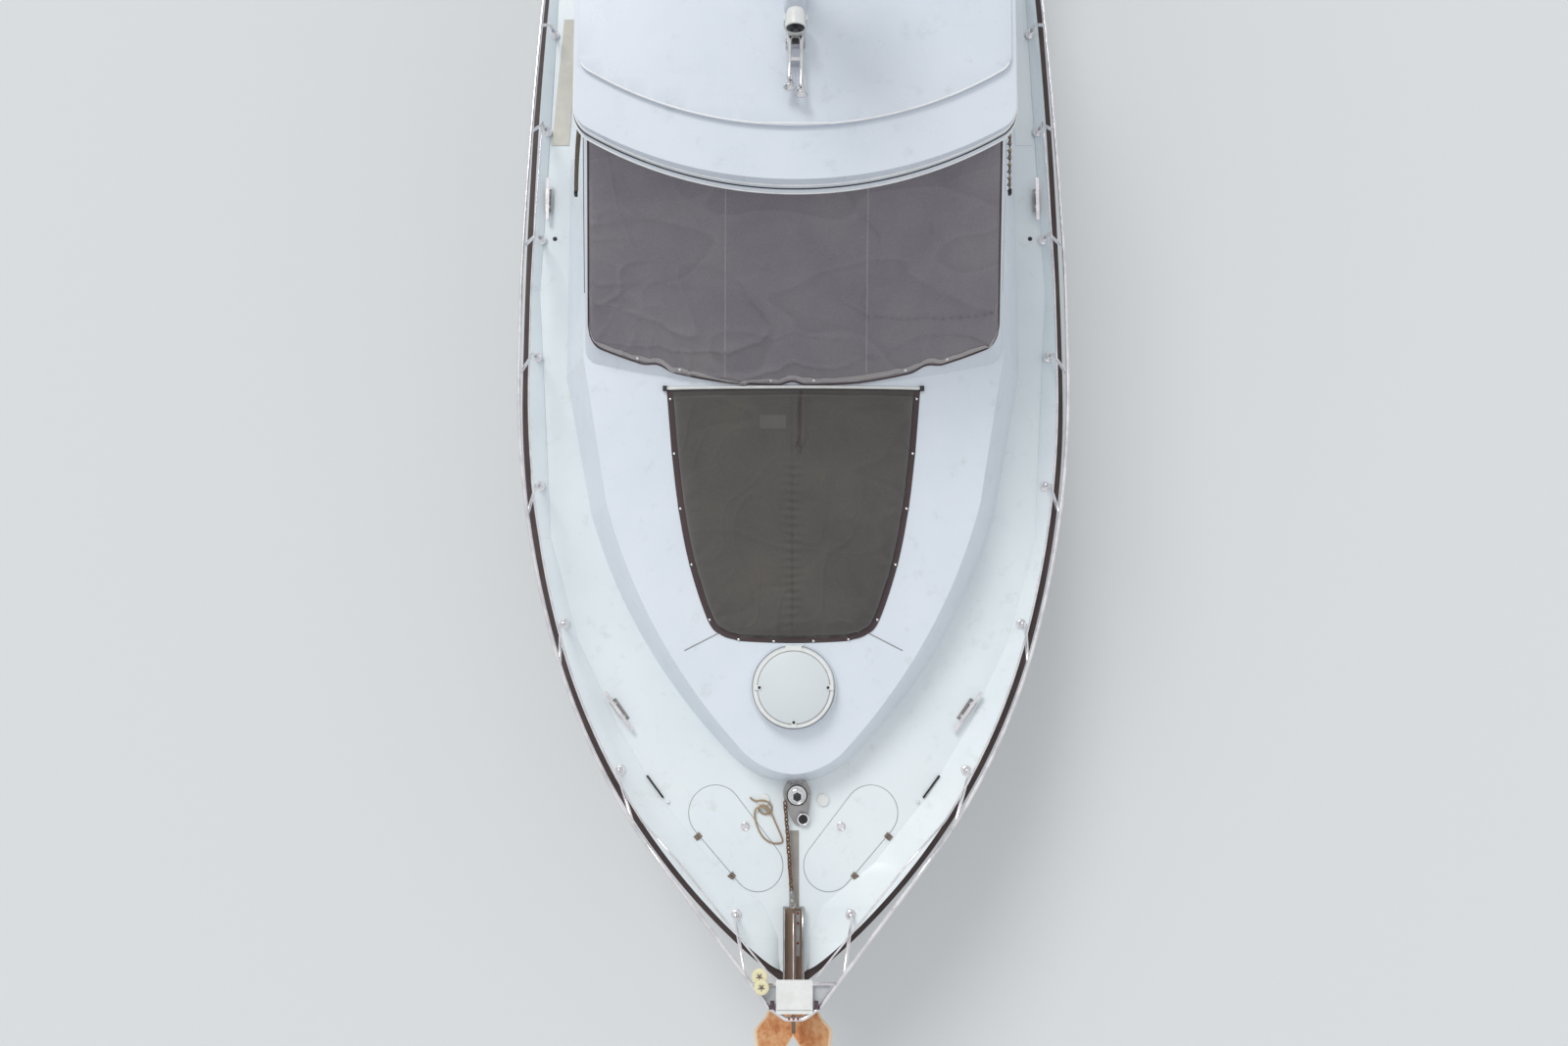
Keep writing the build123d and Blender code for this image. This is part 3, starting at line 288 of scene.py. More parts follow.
def canvas(name, colour, fade, drape=0.0):  # plain weave, faded and dusty in patches
    finish, tree, shader = newFinish(name, colour, 0.88, Sheen_Weight=0.25, Sheen_Roughness=0.5)
    shader.inputs["Specular IOR Level"].default_value = 0.25
    patches = shades(tree, cloud(tree, 1.6, 6, 0.62), colour, (0.25, -fade, -fade, -fade), (0.5, 0, 0, 0),
                     (0.78, fade, fade - 2, fade - 5))
    threads = []
    for direction in ("X", "Y"):
        thread = addNode(tree, "TexWave", Scale=180, Distortion=0.6, Detail=1.0, Vector=place(tree))
        thread.bands_direction = direction
        threads.append(thread.outputs["Fac"])
    weave = calculate(tree, "MULTIPLY", *threads)
    speckle = ramp(tree, cloud(tree, 160, 3), ((0.35, grey(0.86)), (0.65, grey(1.06))))
    gaps = ramp(tree, weave, ((0.0, grey(0.88)), (0.6, grey(1))))
    worn = multiplied(tree, multiplied(tree, patches, speckle), gaps)
    relief(tree, shader, weave, 0.35, 0.0006)
    relief(tree, shader, cloud(tree, 14, 4, 0.6), 0.25, 0.004)
    if drape:  # slack folds, each with a painted highlight on one side and a painted shade on the other
        folds = cloud(tree, 1.25, 1.2, 0.4, (1.9, 0.7, 1.6))
        lines = ramp(tree, folds, ((0.44, grey(1)), (0.495, grey(1.1)), (0.51, grey(0.88)), (0.56, grey(1))))
        # the fold lines add painted shade and painted highlight to the worn colour
        worn = multiplied(tree, worn, lines, drape)
        relief(tree, shader, folds, 0.5, 0.05)
    paint(tree, shader, worn)
    return finish


def rubberFinish(name, colour, roughness=0.6):
    finish, tree, shader = newFinish(name, colour, roughness)
    shade = shades(tree, cloud(tree, 3, 6, 0.65), colour, (0.3, -14, -14, -14), (0.55, 0, 0, 0),
                   (0.8, 22, 18, 16))
    paint(tree, shader, shade)
    relief(tree, shader, cloud(tree, 120, 4), 0.15, 0.001)
    return finish


def rustyIron(name, fresh, rust, dark):  # palest along its worn edges
    finish, tree, shader = newFinish(name, rust, 0.8, 0.15)
    blotches = ramp(tree, cloud(tree, 9, 8, 0.7), (
        (0.3, tint(*dark)), (0.44, tint(*rust)), (0.6, tint(*fresh)), (0.75, tint(*rust))))
    edges = tree.nodes.new("ShaderNodeNewGeometry").outputs["Pointiness"]
    worn = ramp(tree, edges, ((0.5, grey(0)), (0.58, grey(1))))
    paint(tree, shader, multiplied(tree, blotches, tint(*fresh), worn, "MIX"))
    relief(tree, shader, cloud(tree, 60, 8, 0.7), 0.5, 0.002)
    return finish


def teakPlanks(name, colour, width=0.06):  # weathered planks along the yacht, parted by dark caulking
    finish, tree, shader = newFinish(name, colour, 0.72)
    plank = calculate(tree, "FLOORED_MODULO", calculate(tree, "DIVIDE", axisOf(tree, "Y"), width), 1.0)
    seam = calculate(tree, "ABSOLUTE", calculate(tree, "SUBTRACT", plank, 0.5))
    line = ramp(tree, seam, ((0.43, grey(1)), (0.455, (0.12, 0.11, 0.11, 1))))
    grain = shades(tree, cloud(tree, 14, 6, 0.65, (0.12, 3, 3)), colour, (0.25, -30, -30, -28),
                   (0.5, 0, 0, 0), (0.75, 18, 16, 12))
    paint(tree, shader, multiplied(tree, grain, line))
    relief(tree, shader, cloud(tree, 40, 5, 0.6, (0.1, 3, 3)), 0.2, 0.001)
    return finish


def glassFinish(name, colour, roughness, through):
    finish, tree, shader = newFinish(name, colour, roughness, Transmission_Weight=through, IOR=1.45)
    tree.links.new(spread(tree, cloud(tree, 6, 4), roughness, roughness + 0.06), shader.inputs["Roughness"])
    return finish


def vinyl(name, colour):
    finish, tree, shader = newFinish(name, colour, 0.5, Sheen_Weight=0.1)
    cells = addNode(tree, "TexVoronoi", Scale=420, Vector=place(tree))
    paint(tree, shader, shades(tree, cloud(tree, 3, 5), colour, (0.3, -14, -14, -16), (0.6, 0, 0, 0)))
    relief(tree, shader, cells.outputs["Distance"], 0.3, 0.0006)
    return finish


def paintedPlastic(name, colour, roughness=0.4):
    finish, tree, shader = newFinish(name, colour, roughness)
    paint(tree, shader, shades(tree, cloud(tree, 12, 6, 0.6), colour, (0.3, -12, -12, -14), (0.6, 0, 0, 0)),
          spread(tree, cloud(tree, 40, 3), roughness - 0.06, roughness + 0.1))
    relief(tree, shader, cloud(tree, 500, 2), 0.08, 0.0004)
    return finish


finishRecipes = {  # the record's slot it goes by, the way it is made, its own values
    "deck": ("gelcoat", gelcoat, (222, 230, 233), 0.42, 0.25),
    "trunk": ("gelcoat", gelcoat, (219, 226, 234), 0.34),
    "roof": ("gelcoat", gelcoat, (212, 219, 228), 0.3),
    "hull": ("gelcoat", hullPaint, (226, 230, 232), (40, 38, 42), (38, 52, 66)),
    "steel": ("steel", metal, (244, 241, 242), 0.2, 0.08),
    "dullSteel": ("steel", metal, (176, 174, 172), 0.42, 0.12, 40),
    "agedSteel": ("steel", metal, (150, 138, 126), 0.45, 0.12, 50),
    "chrome": ("steel", metal, (225, 225, 226), 0.08, 0.04),
    "bronze": ("bronze", metal, (176, 130, 74), 0.34, 0.12, 20),
    "rubber": ("black_rubber", rubberFinish, (64, 50, 49)),
    "blackRubber": ("dark_plastic", rubberFinish, (34, 32, 32)),
    "chafeRubber": ("black_rubber", rubberFinish, (150, 146, 140), 0.8),
    "greySeal": ("dark_plastic", rubberFinish, (150, 152, 152)),
    "rope": ("grey_canvas", rubberFinish, (160, 140, 112), 0.9),
    "mat": ("teak", rubberFinish, (208, 206, 196), 0.85),
    # the last value of the two covers below is the strength of their painted fold shade and highlight
    "screenCanvas": ("grey_canvas", canvas, (135, 131, 137), 9, 0.5),
    "padCanvas": ("grey_canvas", canvas, (88, 86, 84), 9, 0.4),
    "hemCanvas": ("grey_canvas", canvas, (82, 70, 72), 7),
    "seamCanvas": ("grey_canvas", canvas, (156, 152, 156), 7),
    "foldCanvas": ("grey_canvas", canvas, (170, 166, 168), 8),
    "patchCanvas": ("grey_canvas", canvas, (100, 98, 96), 6),
    "strapWebbing": ("grey_canvas", canvas, (176, 162, 144), 8),
    "rustBolt": ("galvanised", rustyIron, (150, 70, 44), (120, 52, 36), (80, 36, 28)),
    "shankIron": ("galvanised", rustyIron, (132, 112, 96), (98, 80, 70), (62, 52, 50)),
    "wornIron": ("galvanised", rustyIron, (236, 214, 184), (222, 184, 142), (196, 144, 102)),
    "iron": ("galvanised", rustyIron, (226, 178, 132), (205, 134, 84), (150, 92, 60)),
    "chainIron": ("galvanised", rustyIron, (112, 84, 66), (76, 54, 44), (46, 36, 34)),
    "platformTeak": ("teak", teakPlanks, (178, 152, 118)),
    "cockpitTeak": ("teak", teakPlanks, (186, 160, 124)),
    "glass": ("glass", glassFinish, (60, 72, 78), 0.03, 0.85),
    "darkGlass": ("glass", glassFinish, (26, 30, 34), 0.05, 0.2),
    "acrylic": ("hatch_acrylic", glassFinish, (226, 233, 236), 0.32, 0.15),
    "lens": ("glass", glassFinish, (30, 30, 34), 0.05, 0.3),
    "whitePlastic": ("white_plastic", paintedPlastic, (228, 230, 228), 0.34),
    "foldPlastic": ("white_plastic", paintedPlastic, (196, 200, 204), 0.45),
    "creamPlastic": ("white_plastic", paintedPlastic, (230, 223, 186), 0.5),
    # a painted highlight, for the bright lines along the roof's lip and panel edge
    "brightPlastic": ("steel", paintedPlastic, (240, 242, 243), 0.3),
    "darkPlastic": ("dark_plastic", paintedPlastic, (42, 42, 44), 0.5),
    "bracketPlastic": ("dark_plastic", paintedPlastic, (84, 62, 74), 0.5),
    "enginePaint": ("engine_paint", paintedPlastic, (150, 154, 156), 0.45),
    "redPlastic": ("dark_plastic", paintedPlastic, (150, 30, 26), 0.3),
    "greenPlastic": ("dark_plastic", paintedPlastic, (24, 110, 60), 0.3),
    "vinyl": ("seat_vinyl", vinyl, (226, 220, 202)),
}
finishes = {name: make(name, *values) for name, (slot, make, *values) in finishRecipes.items()}

nodeFinishes = {
    "hull": "hull", "rubber": "rub_rail", "screenCanvas": "windscreen_cover", "padCanvas": "sunpad",
    "mat": "side_deck_teak",
    "deck": "deck gunwale locker_lid_port locker_lid_starboard cockpit_seat transom_gate swim_platform",
    "trunk": "trunk hatch_plinth",
    "roof": "windscreen_frame cabin_side_port cabin_side_starboard aft_bulkhead roof roof_panel mast",
    "glass": "windscreen_glass side_glass_port side_glass_starboard door_glass",
    "whitePlastic": "hatch_frame foot_switches pulpit_seat radome searchlight",
    "acrylic": "hatch_glass", "iron": "anchor", "chainIron": "chain",
    "dullSteel": "bow_roller windlass_base",
    "chrome": "windlass_drum horns", "cockpitTeak": "cockpit_sole engine_hatch", "enginePaint": "engines",
    "steel": "cleats guard_rail_port guard_rail_starboard pulpit hinge_leaves saloon_door "
             "shaft_port shaft_starboard",
    "vinyl": "cockpit_cushion saloon_seats", "darkPlastic": "helm_console",
    "bronze": "shaft_brackets propeller_port propeller_starboard rudder_port rudder_starboard",
}
for finish, names in nodeFinishes.items():
    for name in names.split():
        nodes[name].data.materials.clear()
        nodes[name].data.materials.append(finishes[finish])
print("finishes made")


# ways to make a piece: each rides a body and has the slot of its finish, or one given

def fitOut(name, mesh, body, slot):
    piece = bpy.data.objects.new(name, mesh)
    bpy.context.scene.collection.objects.link(piece)
    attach(piece, body)
    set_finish(piece, slot)
    return piece


def addShape(name, shape, finish, smooth=True, body="hull", slot=None):
    bmesh.ops.recalc_face_normals(shape, faces=shape.faces)
    for face in shape.faces:
        face.smooth = smooth
    mesh = bpy.data.meshes.new(name)
    shape.to_mesh(mesh)
    shape.free()
    mesh.materials.append(finishes[finish])
    return fitOut(name, mesh, body, slot or finishRecipes[finish][0])


def strip(name, rows, finish, body="hull", slot=None):  # a surface over rows of points
    wide = len(rows[0])
    faces = [(r * wide + k, r * wide + k + 1, (r + 1) * wide + k + 1, (r + 1) * wide + k)
             for r in range(len(rows) - 1) for k in range(wide - 1)]
    mesh = bpy.data.meshes.new(name)
    mesh.from_pydata([tuple(p) for row in rows for p in row], [], faces)
    mesh.validate()
    for face in mesh.polygons:
        face.use_smooth = True
    mesh.materials.append(finishes[finish])
    return fitOut(name, mesh, body, slot or finishRecipes[finish][0])


def soften(piece, width):  # rounded edges, without a change to the mesh itself
    piece.modifiers.new("weld", "WELD").merge_threshold = 0.00002
    bevel = piece.modifiers.new("soften", "BEVEL")
    bevel.width = width
    bevel.segments = 3
    bevel.limit_method = "ANGLE"
    bevel.angle_limit = math.radians(38)


def joined(name, parts, replaced=None):  # several made into one, with the first one's body and slot
    bpy.context.view_layer.update()
    shape = bmesh.new()
    used = []
    for part in parts:
        held = bmesh.new()
        held.from_mesh(part.data)
        held.transform(part.matrix_world)
        material = part.data.materials[0]
        if material not in used:
            used.append(material)
        for face in held.faces:
            face.material_index = used.index(material)
        scratch = bpy.data.meshes.new("scratch")
        held.to_mesh(scratch)
        held.free()
        shape.from_mesh(scratch)
        bpy.data.meshes.remove(scratch)
    mesh = bpy.data.meshes.new(name)
    shape.to_mesh(mesh)
    shape.free()
    for material in used:
        mesh.materials.append(material)
    body, slot = parts[0]["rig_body"], parts[0]["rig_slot"]
    for part in parts:
        bpy.data.objects.remove(part)
    piece = fitOut(name, mesh, body, slot)
    if replaced:
        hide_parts(replaced)
    return piece


def lathe(name, profile, centre, finish, axis=(0, 0, 1), turns=48, **ride):  # profile: radius, height
    lean = Vector((0, 0, 1)).rotation_difference(Vector(axis).normalized()).to_matrix()
    shape = bmesh.new()
    rings = []
    for radius, height in profile:
        angles = [2 * math.pi * k / turns for k in range(turns if radius > 0 else 1)]
        rings.append([shape.verts.new(lean @ Vector((radius * math.cos(a), radius * math.sin(a), height))
                                      + Vector(centre)) for a in angles])
    for low, high in zip(rings, rings[1:]):
        for k in range(turns):
            after = (k + 1) % turns
            corners = [low[k % len(low)], low[after % len(low)], high[after % len(high)],
                       high[k % len(high)]]
            kept = [v for i, v in enumerate(corners) if v not in corners[:i]]
            if len(kept) > 2:
                shape.faces.new(kept)
    return addShape(name, shape, finish, **ride)


def tube(name, points, radius, finish, turns=12, closed=False, **ride):
    line = [Vector(p) for p in points]
    count = len(line)
    shape = bmesh.new()
    rings = []
    normal = None
    for i, point in enumerate(line):
        before = line[i - 1] if (i or closed) else line[0]
        after = line[(i + 1) % count] if (i < count - 1 or closed) else line[-1]
        run = (after - before).normalized()
        if normal is None:
            normal = run.orthogonal().normalized()
        normal = (normal - run * normal.dot(run)).normalized()
        side = run.cross(normal)
        angles = [2 * math.pi * k / turns for k in range(turns)]
        rings.append([shape.verts.new(point + radius * (math.cos(a) * normal + math.sin(a) * side))
                      for a in angles])
    for i in range(count if closed else count - 1):
        low, high = rings[i], rings[(i + 1) % count]
        for k in range(turns):
            shape.faces.new((low[k], low[(k + 1) % turns], high[(k + 1) % turns], high[k]))
    if not closed:
        shape.faces.new(rings[0][::-1])
        shape.faces.new(rings[-1])
    return addShape(name, shape, finish, **ride)


def slab(name, outline, low, high, finish, bevel=0.0, **ride):  # a plate between two heights over the deck
    shape = bmesh.new()
    floor, top = [[shape.verts.new(onDeck(x, y, lift)) for x, y in outline] for lift in (low, high)]
    shape.faces.new(floor[::-1])
    shape.faces.new(top)
    for i in range(len(outline)):
        j = (i + 1) % len(outline)
        shape.faces.new((floor[i], floor[j], top[j], top[i]))
    piece = addShape(name, shape, finish, smooth=False, **ride)
    if bevel:
        soften(piece, bevel)
    return piece


def block(centre, size, finish, turn=Matrix.Identity(4), **ride):
    shape = bmesh.new()
    bmesh.ops.create_cube(shape, size=1.0)
    shape.transform(Matrix.Translation(centre) @ turn @ Matrix.Diagonal((*size, 1)))
    return addShape("block", shape, finish, smooth=False, **ride)


def dome(name, spot, radius, finish, up=(0, 0, 1), **ride):
    profile = ((1, 0), (1, 0.25), (0.8, 0.5), (0.4, 0.66), (0, 0.7))
    return lathe(name, [(radius * r, radius * z) for r, z in profile], spot, finish, up, 16, **ride)


def fillGrid(shape, grid):
    return [shape.faces.new((a[i], a[i + 1], b[i + 1], b[i])) for a, b in zip(grid, grid[1:])
            for i in range(len(a) - 1)]


def wall(shape, upper, lower):  # faces between two closed rows of points
    return [shape.faces.new((upper[k - 1], lower[k - 1], lower[k], upper[k])) for k in range(len(upper))]


def rimOf(columns, rows):  # row and column of each point round the edge of a grid
    rim = [(0, i) for i in range(columns)] + [(j, columns) for j in range(rows)]
    return rim + [(rows, i) for i in range(columns, 0, -1)] + [(j, 0) for j in range(rows, 0, -1)]


def stations(first, last, count):
    return [first + (last - first) * k / count for k in range(count + 1)]


def turned(degrees):
    return Matrix.Rotation(math.radians(degrees), 4, "Z")


def runLength(line):
    return sum((b - a).length for a, b in zip(line, line[1:]))


def smoothLine(points, divisions):  # through the given points
    line = [Vector(p) for p in points]
    full = [2 * line[0] - line[1]] + line + [2 * line[-1] - line[-2]]
    out = []
    for i in range(1, len(full) - 2):
        p0, p1, p2, p3 = full[i - 1:i + 3]
        for k in range(divisions):
            t = k / divisions
            out.append(0.5 * (2 * p1 + (p2 - p0) * t + (2 * p0 - 5 * p1 + 4 * p2 - p3) * t * t
                              + (3 * p1 - p0 - 3 * p2 + p3) * t ** 3))
    return out + [line[-1]]


def bendThrough(start, corner, end, steps):  # a soft turn that starts and ends along its two legs
    return [(1 - t) ** 2 * start + 2 * t * (1 - t) * corner + t * t * end for t in stations(0, 1, steps)]


def bump(x, centre, width):
    return math.exp(-((x - centre) / width) ** 2)


def smoothStep(x):
    x = min(1.0, max(0.0, x))
    return x * x * (3 - 2 * x)


def treeOf(*names):
    shape = bmesh.new()
    for name in names:
        shape.from_mesh(nodes[name].data)
    tree = BVHTree.FromBMesh(shape)
    shape.free()
    return tree


deckTree = treeOf("deck", "gunwale", "hull")


def landing(x, y):  # height of the deck or gunwale under a spot
    return deckTree.ray_cast(Vector((x, y, 3)), Vector((0, 0, -1)))[0].z


def noiseAt(x, y, z):
    return noise.noise(Vector((x, y, z)))


def crease(x, y, seed, width):  # thin meandering ridges, from 0 to 1
    share = max(0.0, 1 - abs(noiseAt(x, y, seed)) / width)
    return share * share * max(0.0, 0.35 + noiseAt(x * 0.6 + 3, y * 0.7, seed + 9))


# windscreen cover

screenCover = {
    "base": 2.13, "front": 2.22, "corner": 1.893, "halfWidth": 1.54,
    "frontRake": 1.019, "cornerRake": 0.956, "tumblehome": 0.164, "cornerRadius": 0.15,
    "out": 0.009, "top": 3.225, "hem": 0.012, "edgeLow": 1.518, "edgeHigh": 1.33,
    "columns": 260, "rows": 100, "hemSteps": 240, "hemCorner": 0.1, "hemRise": 0.055, "hemDrop": 0.012,
    "snaps": (-1.153, -0.841, -0.166, 0.148, 0.826, 1.133), "seams": (-0.5, 0.53),
    "scallops": ((-1.0, 0.1, 0.024), (-0.01, 0.085, 0.02), (0.98, 0.1, 0.024)),
    "hangs": ((-1, 0.42), (1, 0.45)), "drops": (0.2, 0.42, 0.55), "tucks": 1.08,
}


def screenX(y, z, out):
    c = screenCover
    rise = z - c["base"]
    front = c["front"] - c["frontRake"] * rise + out
    corner = c["corner"] - c["cornerRake"] * rise + out
    half = c["halfWidth"] - c["tumblehome"] * rise + out
    sag = front - corner
    radius = (half * half + sag * sag) / (2 * sag)
    r = 0.62 * c["cornerRadius"]
    lean = half - r
    side = min(abs(y), half - 0.001)
    x = front - radius + math.sqrt(radius ** 2 - min(side, lean) ** 2)
    if side > lean:
        over = (side - lean) / (half - lean)
        x -= (side - lean) * lean / radius + r * (1 - math.sqrt(max(0.0, 1 - over ** 2)))
    return x


def hemZ(y):
    c = screenCover
    z = 2.1
    for _ in range(6):
        z = trunkZ(screenX(y, z, c["out"]), y, c["hem"])
    z += max(0.0, c["hemRise"] * y * y - c["hemDrop"])
    for centre, half, height in c["scallops"]:
        across = abs(y - centre) / half / 1.25
        if across < 1:
            z += height * (0.5 + 0.5 * math.cos(math.pi * across))
    short = max(0.0, c["hemCorner"] - c["edgeLow"] + abs(y))
    return z + c["hemCorner"] - math.sqrt(max(0.0, c["hemCorner"] ** 2 - short ** 2))


def screenPoint(u, v, lift=0.0):
    c = screenCover
    y = u * c["edgeLow"]
    low = hemZ(y)
    z = low + v * (c["top"] - low)
    y = u * (c["edgeLow"] + (c["edgeHigh"] - c["edgeLow"]) * (z - 2.1) / (c["top"] - 2.1))
    return Vector((screenX(y, z, c["out"] + lift), y, z))


def screenWrinkle(u, v):
    y = u * 1.5
    low = bump(v, 0.0, 0.2)
    out = 0.0025 * bump(v, 0.62, 0.05)
    for snap in screenCover["snaps"]:  # puckers that run up from each snap
        near = y - snap
        out += 0.0045 * low * math.sin(near * 46 + 2.5 * v + snap * 3) * bump(near, 0, 0.16)
        out += 0.004 * bump(near - math.copysign(0.9 * v, snap), 0, 0.03 + 0.05 * v) * bump(v, 0.12, 0.16)
    for seam in screenCover["seams"]:
        out -= 0.003 * bump(y, seam, 0.006)
        out += 0.0016 * bump(y, seam, 0.03) * math.sin(v * 90 + 5 * noiseAt(y, v * 4, 2))
    out += 0.006 * noiseAt(y * 2.2, v * 1.6, 3.1) + 0.012 * noiseAt(y * 1.7 + 1.3 * v, v * 3.6, 5.7)
    out += 0.0035 * noiseAt(y * 5.0 + 3 * v, v * 2.4, 8.7) * (0.4 + low)
    out += 0.003 * bump(v, 0.1, 0.07) * noiseAt(y * 14, v * 6, 1.4)
    out += 0.03 * crease(y * 1.3 + 1.1 * v, v * 2.6, 4.4, 0.07)
    out += 0.018 * crease(y * 2.4 - 2 * v, v * 4.2, 7.9, 0.1)
    out += 0.016 * crease(y * 0.9 + 0.7 * v, v * 3.4, 11.7, 0.06)
    out += 0.012 * crease(y * 3.1, v * 2.2 - y, 15.2, 0.08)
    out += 0.022 * (0.4 + bump(v, 0.2, 0.3)) * crease(y * 0.8, v * 6.5 + abs(y), 2.3, 0.09)
    for side, reach in screenCover["hangs"]:  # the folds that hang from the middle seams
        sag = y * side - 0.08
        if 0 < sag < reach:
            for drop in screenCover["drops"]:
                line = v - drop - 0.22 * (sag / reach) ** 1.6 + 0.02 * math.sin(9 * sag + drop * 30)
                out += 0.008 * bump(line, 0, 0.022) * math.sin(math.pi * sag / reach)
    return out * smoothStep((1 - abs(u)) / 0.02) * smoothStep(v / 0.02)


def screenRow(v, count, lift=0.0):
    return [screenPoint(u, v, lift + screenWrinkle(u, v)) for u in stations(-1, 1, count)]


def addScreenCover():
    c = screenCover
    grid = [screenRow((j / c["rows"]) ** 1.25, c["columns"]) for j in range(c["rows"] + 1)]
    cover = strip("screenCover", grid, "screenCanvas")
    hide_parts("windscreen_cover")
    hem = [screenPoint(u, 0, 0.002) for u in stations(-1, 1, c["hemSteps"])]
    left, right = [[screenPoint(side, v, 0.002) for v in stations(0, 1, 40)] for side in (-1, 1)]
    band = [screenRow(v, c["hemSteps"], 0.003) for v in (0.012, 0.018, 0.03, 0.036)]
    extras = [tube("screenPiping", left[::-1] + hem[1:-1] + right, 0.0065, "hemCanvas", 8),
              strip("screenHemBand", band, "foldCanvas")]
    for k, y in enumerate(c["snaps"]):
        spot = screenPoint(y / c["edgeLow"], 0.024, 0.004)
        extras.append(dome(f"screenSnap{k}", spot, 0.011, "whitePlastic", (1, 0, 0.95)))
    for k, y in enumerate(c["seams"]):
        lanes = [y / 1.5 + d for d in (-0.004, 0.0, 0.004)]
        rows = [[screenPoint(u, v, 0.0015 + screenWrinkle(u, v)) for u in lanes]
                for v in stations(0.04, 0.98, 60)]
        extras.append(strip(f"screenSeam{k}", rows, "seamCanvas"))
    height = runLength([screenPoint(0, v) for v in stations(0, 1, 60)])
    width = runLength([screenPoint(u, 0.5) for u in stations(-1, 1, c["hemSteps"])])


addScreenCover()
print("windscreen cover made")


# sunpad under its cover

padCover = {
    "aft": 2.25, "front": 4.115, "noseX": 4.1, "noseY": 0.405, "noseBow": 0.015,
    "side": ((2.25, 0.939), (2.72, 0.9), (3.134, 0.85), (3.546, 0.768), (3.953, 0.632), (4.06, 0.53),
             (4.1, 0.405)),
    "hem": 0.05, "hemRise": 0.004, "rise": 0.084, "edge": 0.13, "columns": 240, "rows": 210,
    "hemTop": 0.0062,
    "snaps": ((2.319, 0.924), (2.723, 0.893), (3.129, 0.846), (3.54, 0.762), (3.945, 0.626), (4.088, 0.41),
              (4.1, 0.148)),
    "bar": (2.242, 0.94, 0.014), "fold": (2.268, 0.47, 0.062, 0.012), "patch": (2.46, 2.56, -0.245, -0.055),
}


def padSide(v):
    line = padCover["side"]
    spot = v * (len(line) - 1)
    k = min(int(spot), len(line) - 2)
    return tuple(a + (b - a) * (spot - k) for a, b in zip(line[k], line[k + 1]))


padRim = smoothLine([(x, y, 0) for x, y in padCover["side"]], 10)
padAft = [Vector((padCover["aft"], padCover["side"][0][1] * k / 20, 0)) for k in range(-20, 21)]
padNose = [Vector((padCover["noseX"] + padCover["noseBow"] * (1 - abs(k) / 10), padCover["noseY"] * k / 10,
                   0))
           for k in range(10, -11, -1)]
padOutline = padAft + padRim + padNose + [Vector((p.x, -p.y, 0)) for p in reversed(padRim)]


def padInside(x, y):  # how far inside the cover's outline a point lies
    best = 81.0
    for a, b in zip(padOutline, padOutline[1:]):
        dx, dy = b.x - a.x, b.y - a.y
        span = dx * dx + dy * dy
        if span > 1e-12:
            share = min(1.0, max(0.0, ((x - a.x) * dx + (y - a.y) * dy) / span))
            best = min(best, (x - a.x - share * dx) ** 2 + (y - a.y - share * dy) ** 2)
    return math.sqrt(best)


def padRise(x, y):
    c = padCover
    depth = padInside(x, y)
    t = min(1.0, max(0.0, (depth - c["hem"]) / c["edge"]))
    drift = smoothStep((x - 2.62) / 0.18)
    seam = -0.012 + 0.05 * bump(x, 2.3, 0.22)
    fold = 0.018 * bump(y, 0.075 - 0.085 * drift, 0.013) - 0.012 * bump(y, 0.045 - 0.05 * drift, 0.012)
    slack = fold * (1 - smoothStep((x - 2.72) / 0.12)) - 0.009 * bump(y, -0.006, 0.008)
    slack += (0.006 * math.sin(x * 105 + 2.2 * noiseAt(x * 3, y * 3, 0)) * bump(y, seam, 0.06)
              * smoothStep((x - 2.75) / 0.1))
    slack += 0.006 * noiseAt(x * 2.6, y * 2.0, 1.7) + 0.003 * noiseAt(x * 7.5, y * 5.0, 4.2)
    slack += 0.014 * crease(x * 1.5, y * 2.4, 5.1, 0.07) + 0.01 * crease(x * 2.6, y * 4.4, 8.2, 0.1)
    for snapX, snapY in c["snaps"]:  # puckers round each snap
        for side in (-1, 1):
            far = math.hypot(x - snapX, y - side * snapY)
            if far < 0.4:
                angle = math.atan2(y - side * snapY, x - snapX)
                slack += 0.004 * math.sin(angle * 7 + snapX * 9) * bump(far, 0.12, 0.08)
    return c["hemRise"] + c["rise"] * math.sqrt(1 - (1 - t) ** 2.2) + slack * smoothStep(depth / 0.12)


def onTrunk(x, y, lift):
    return Vector((x, y, trunkZ(x, y, lift)))


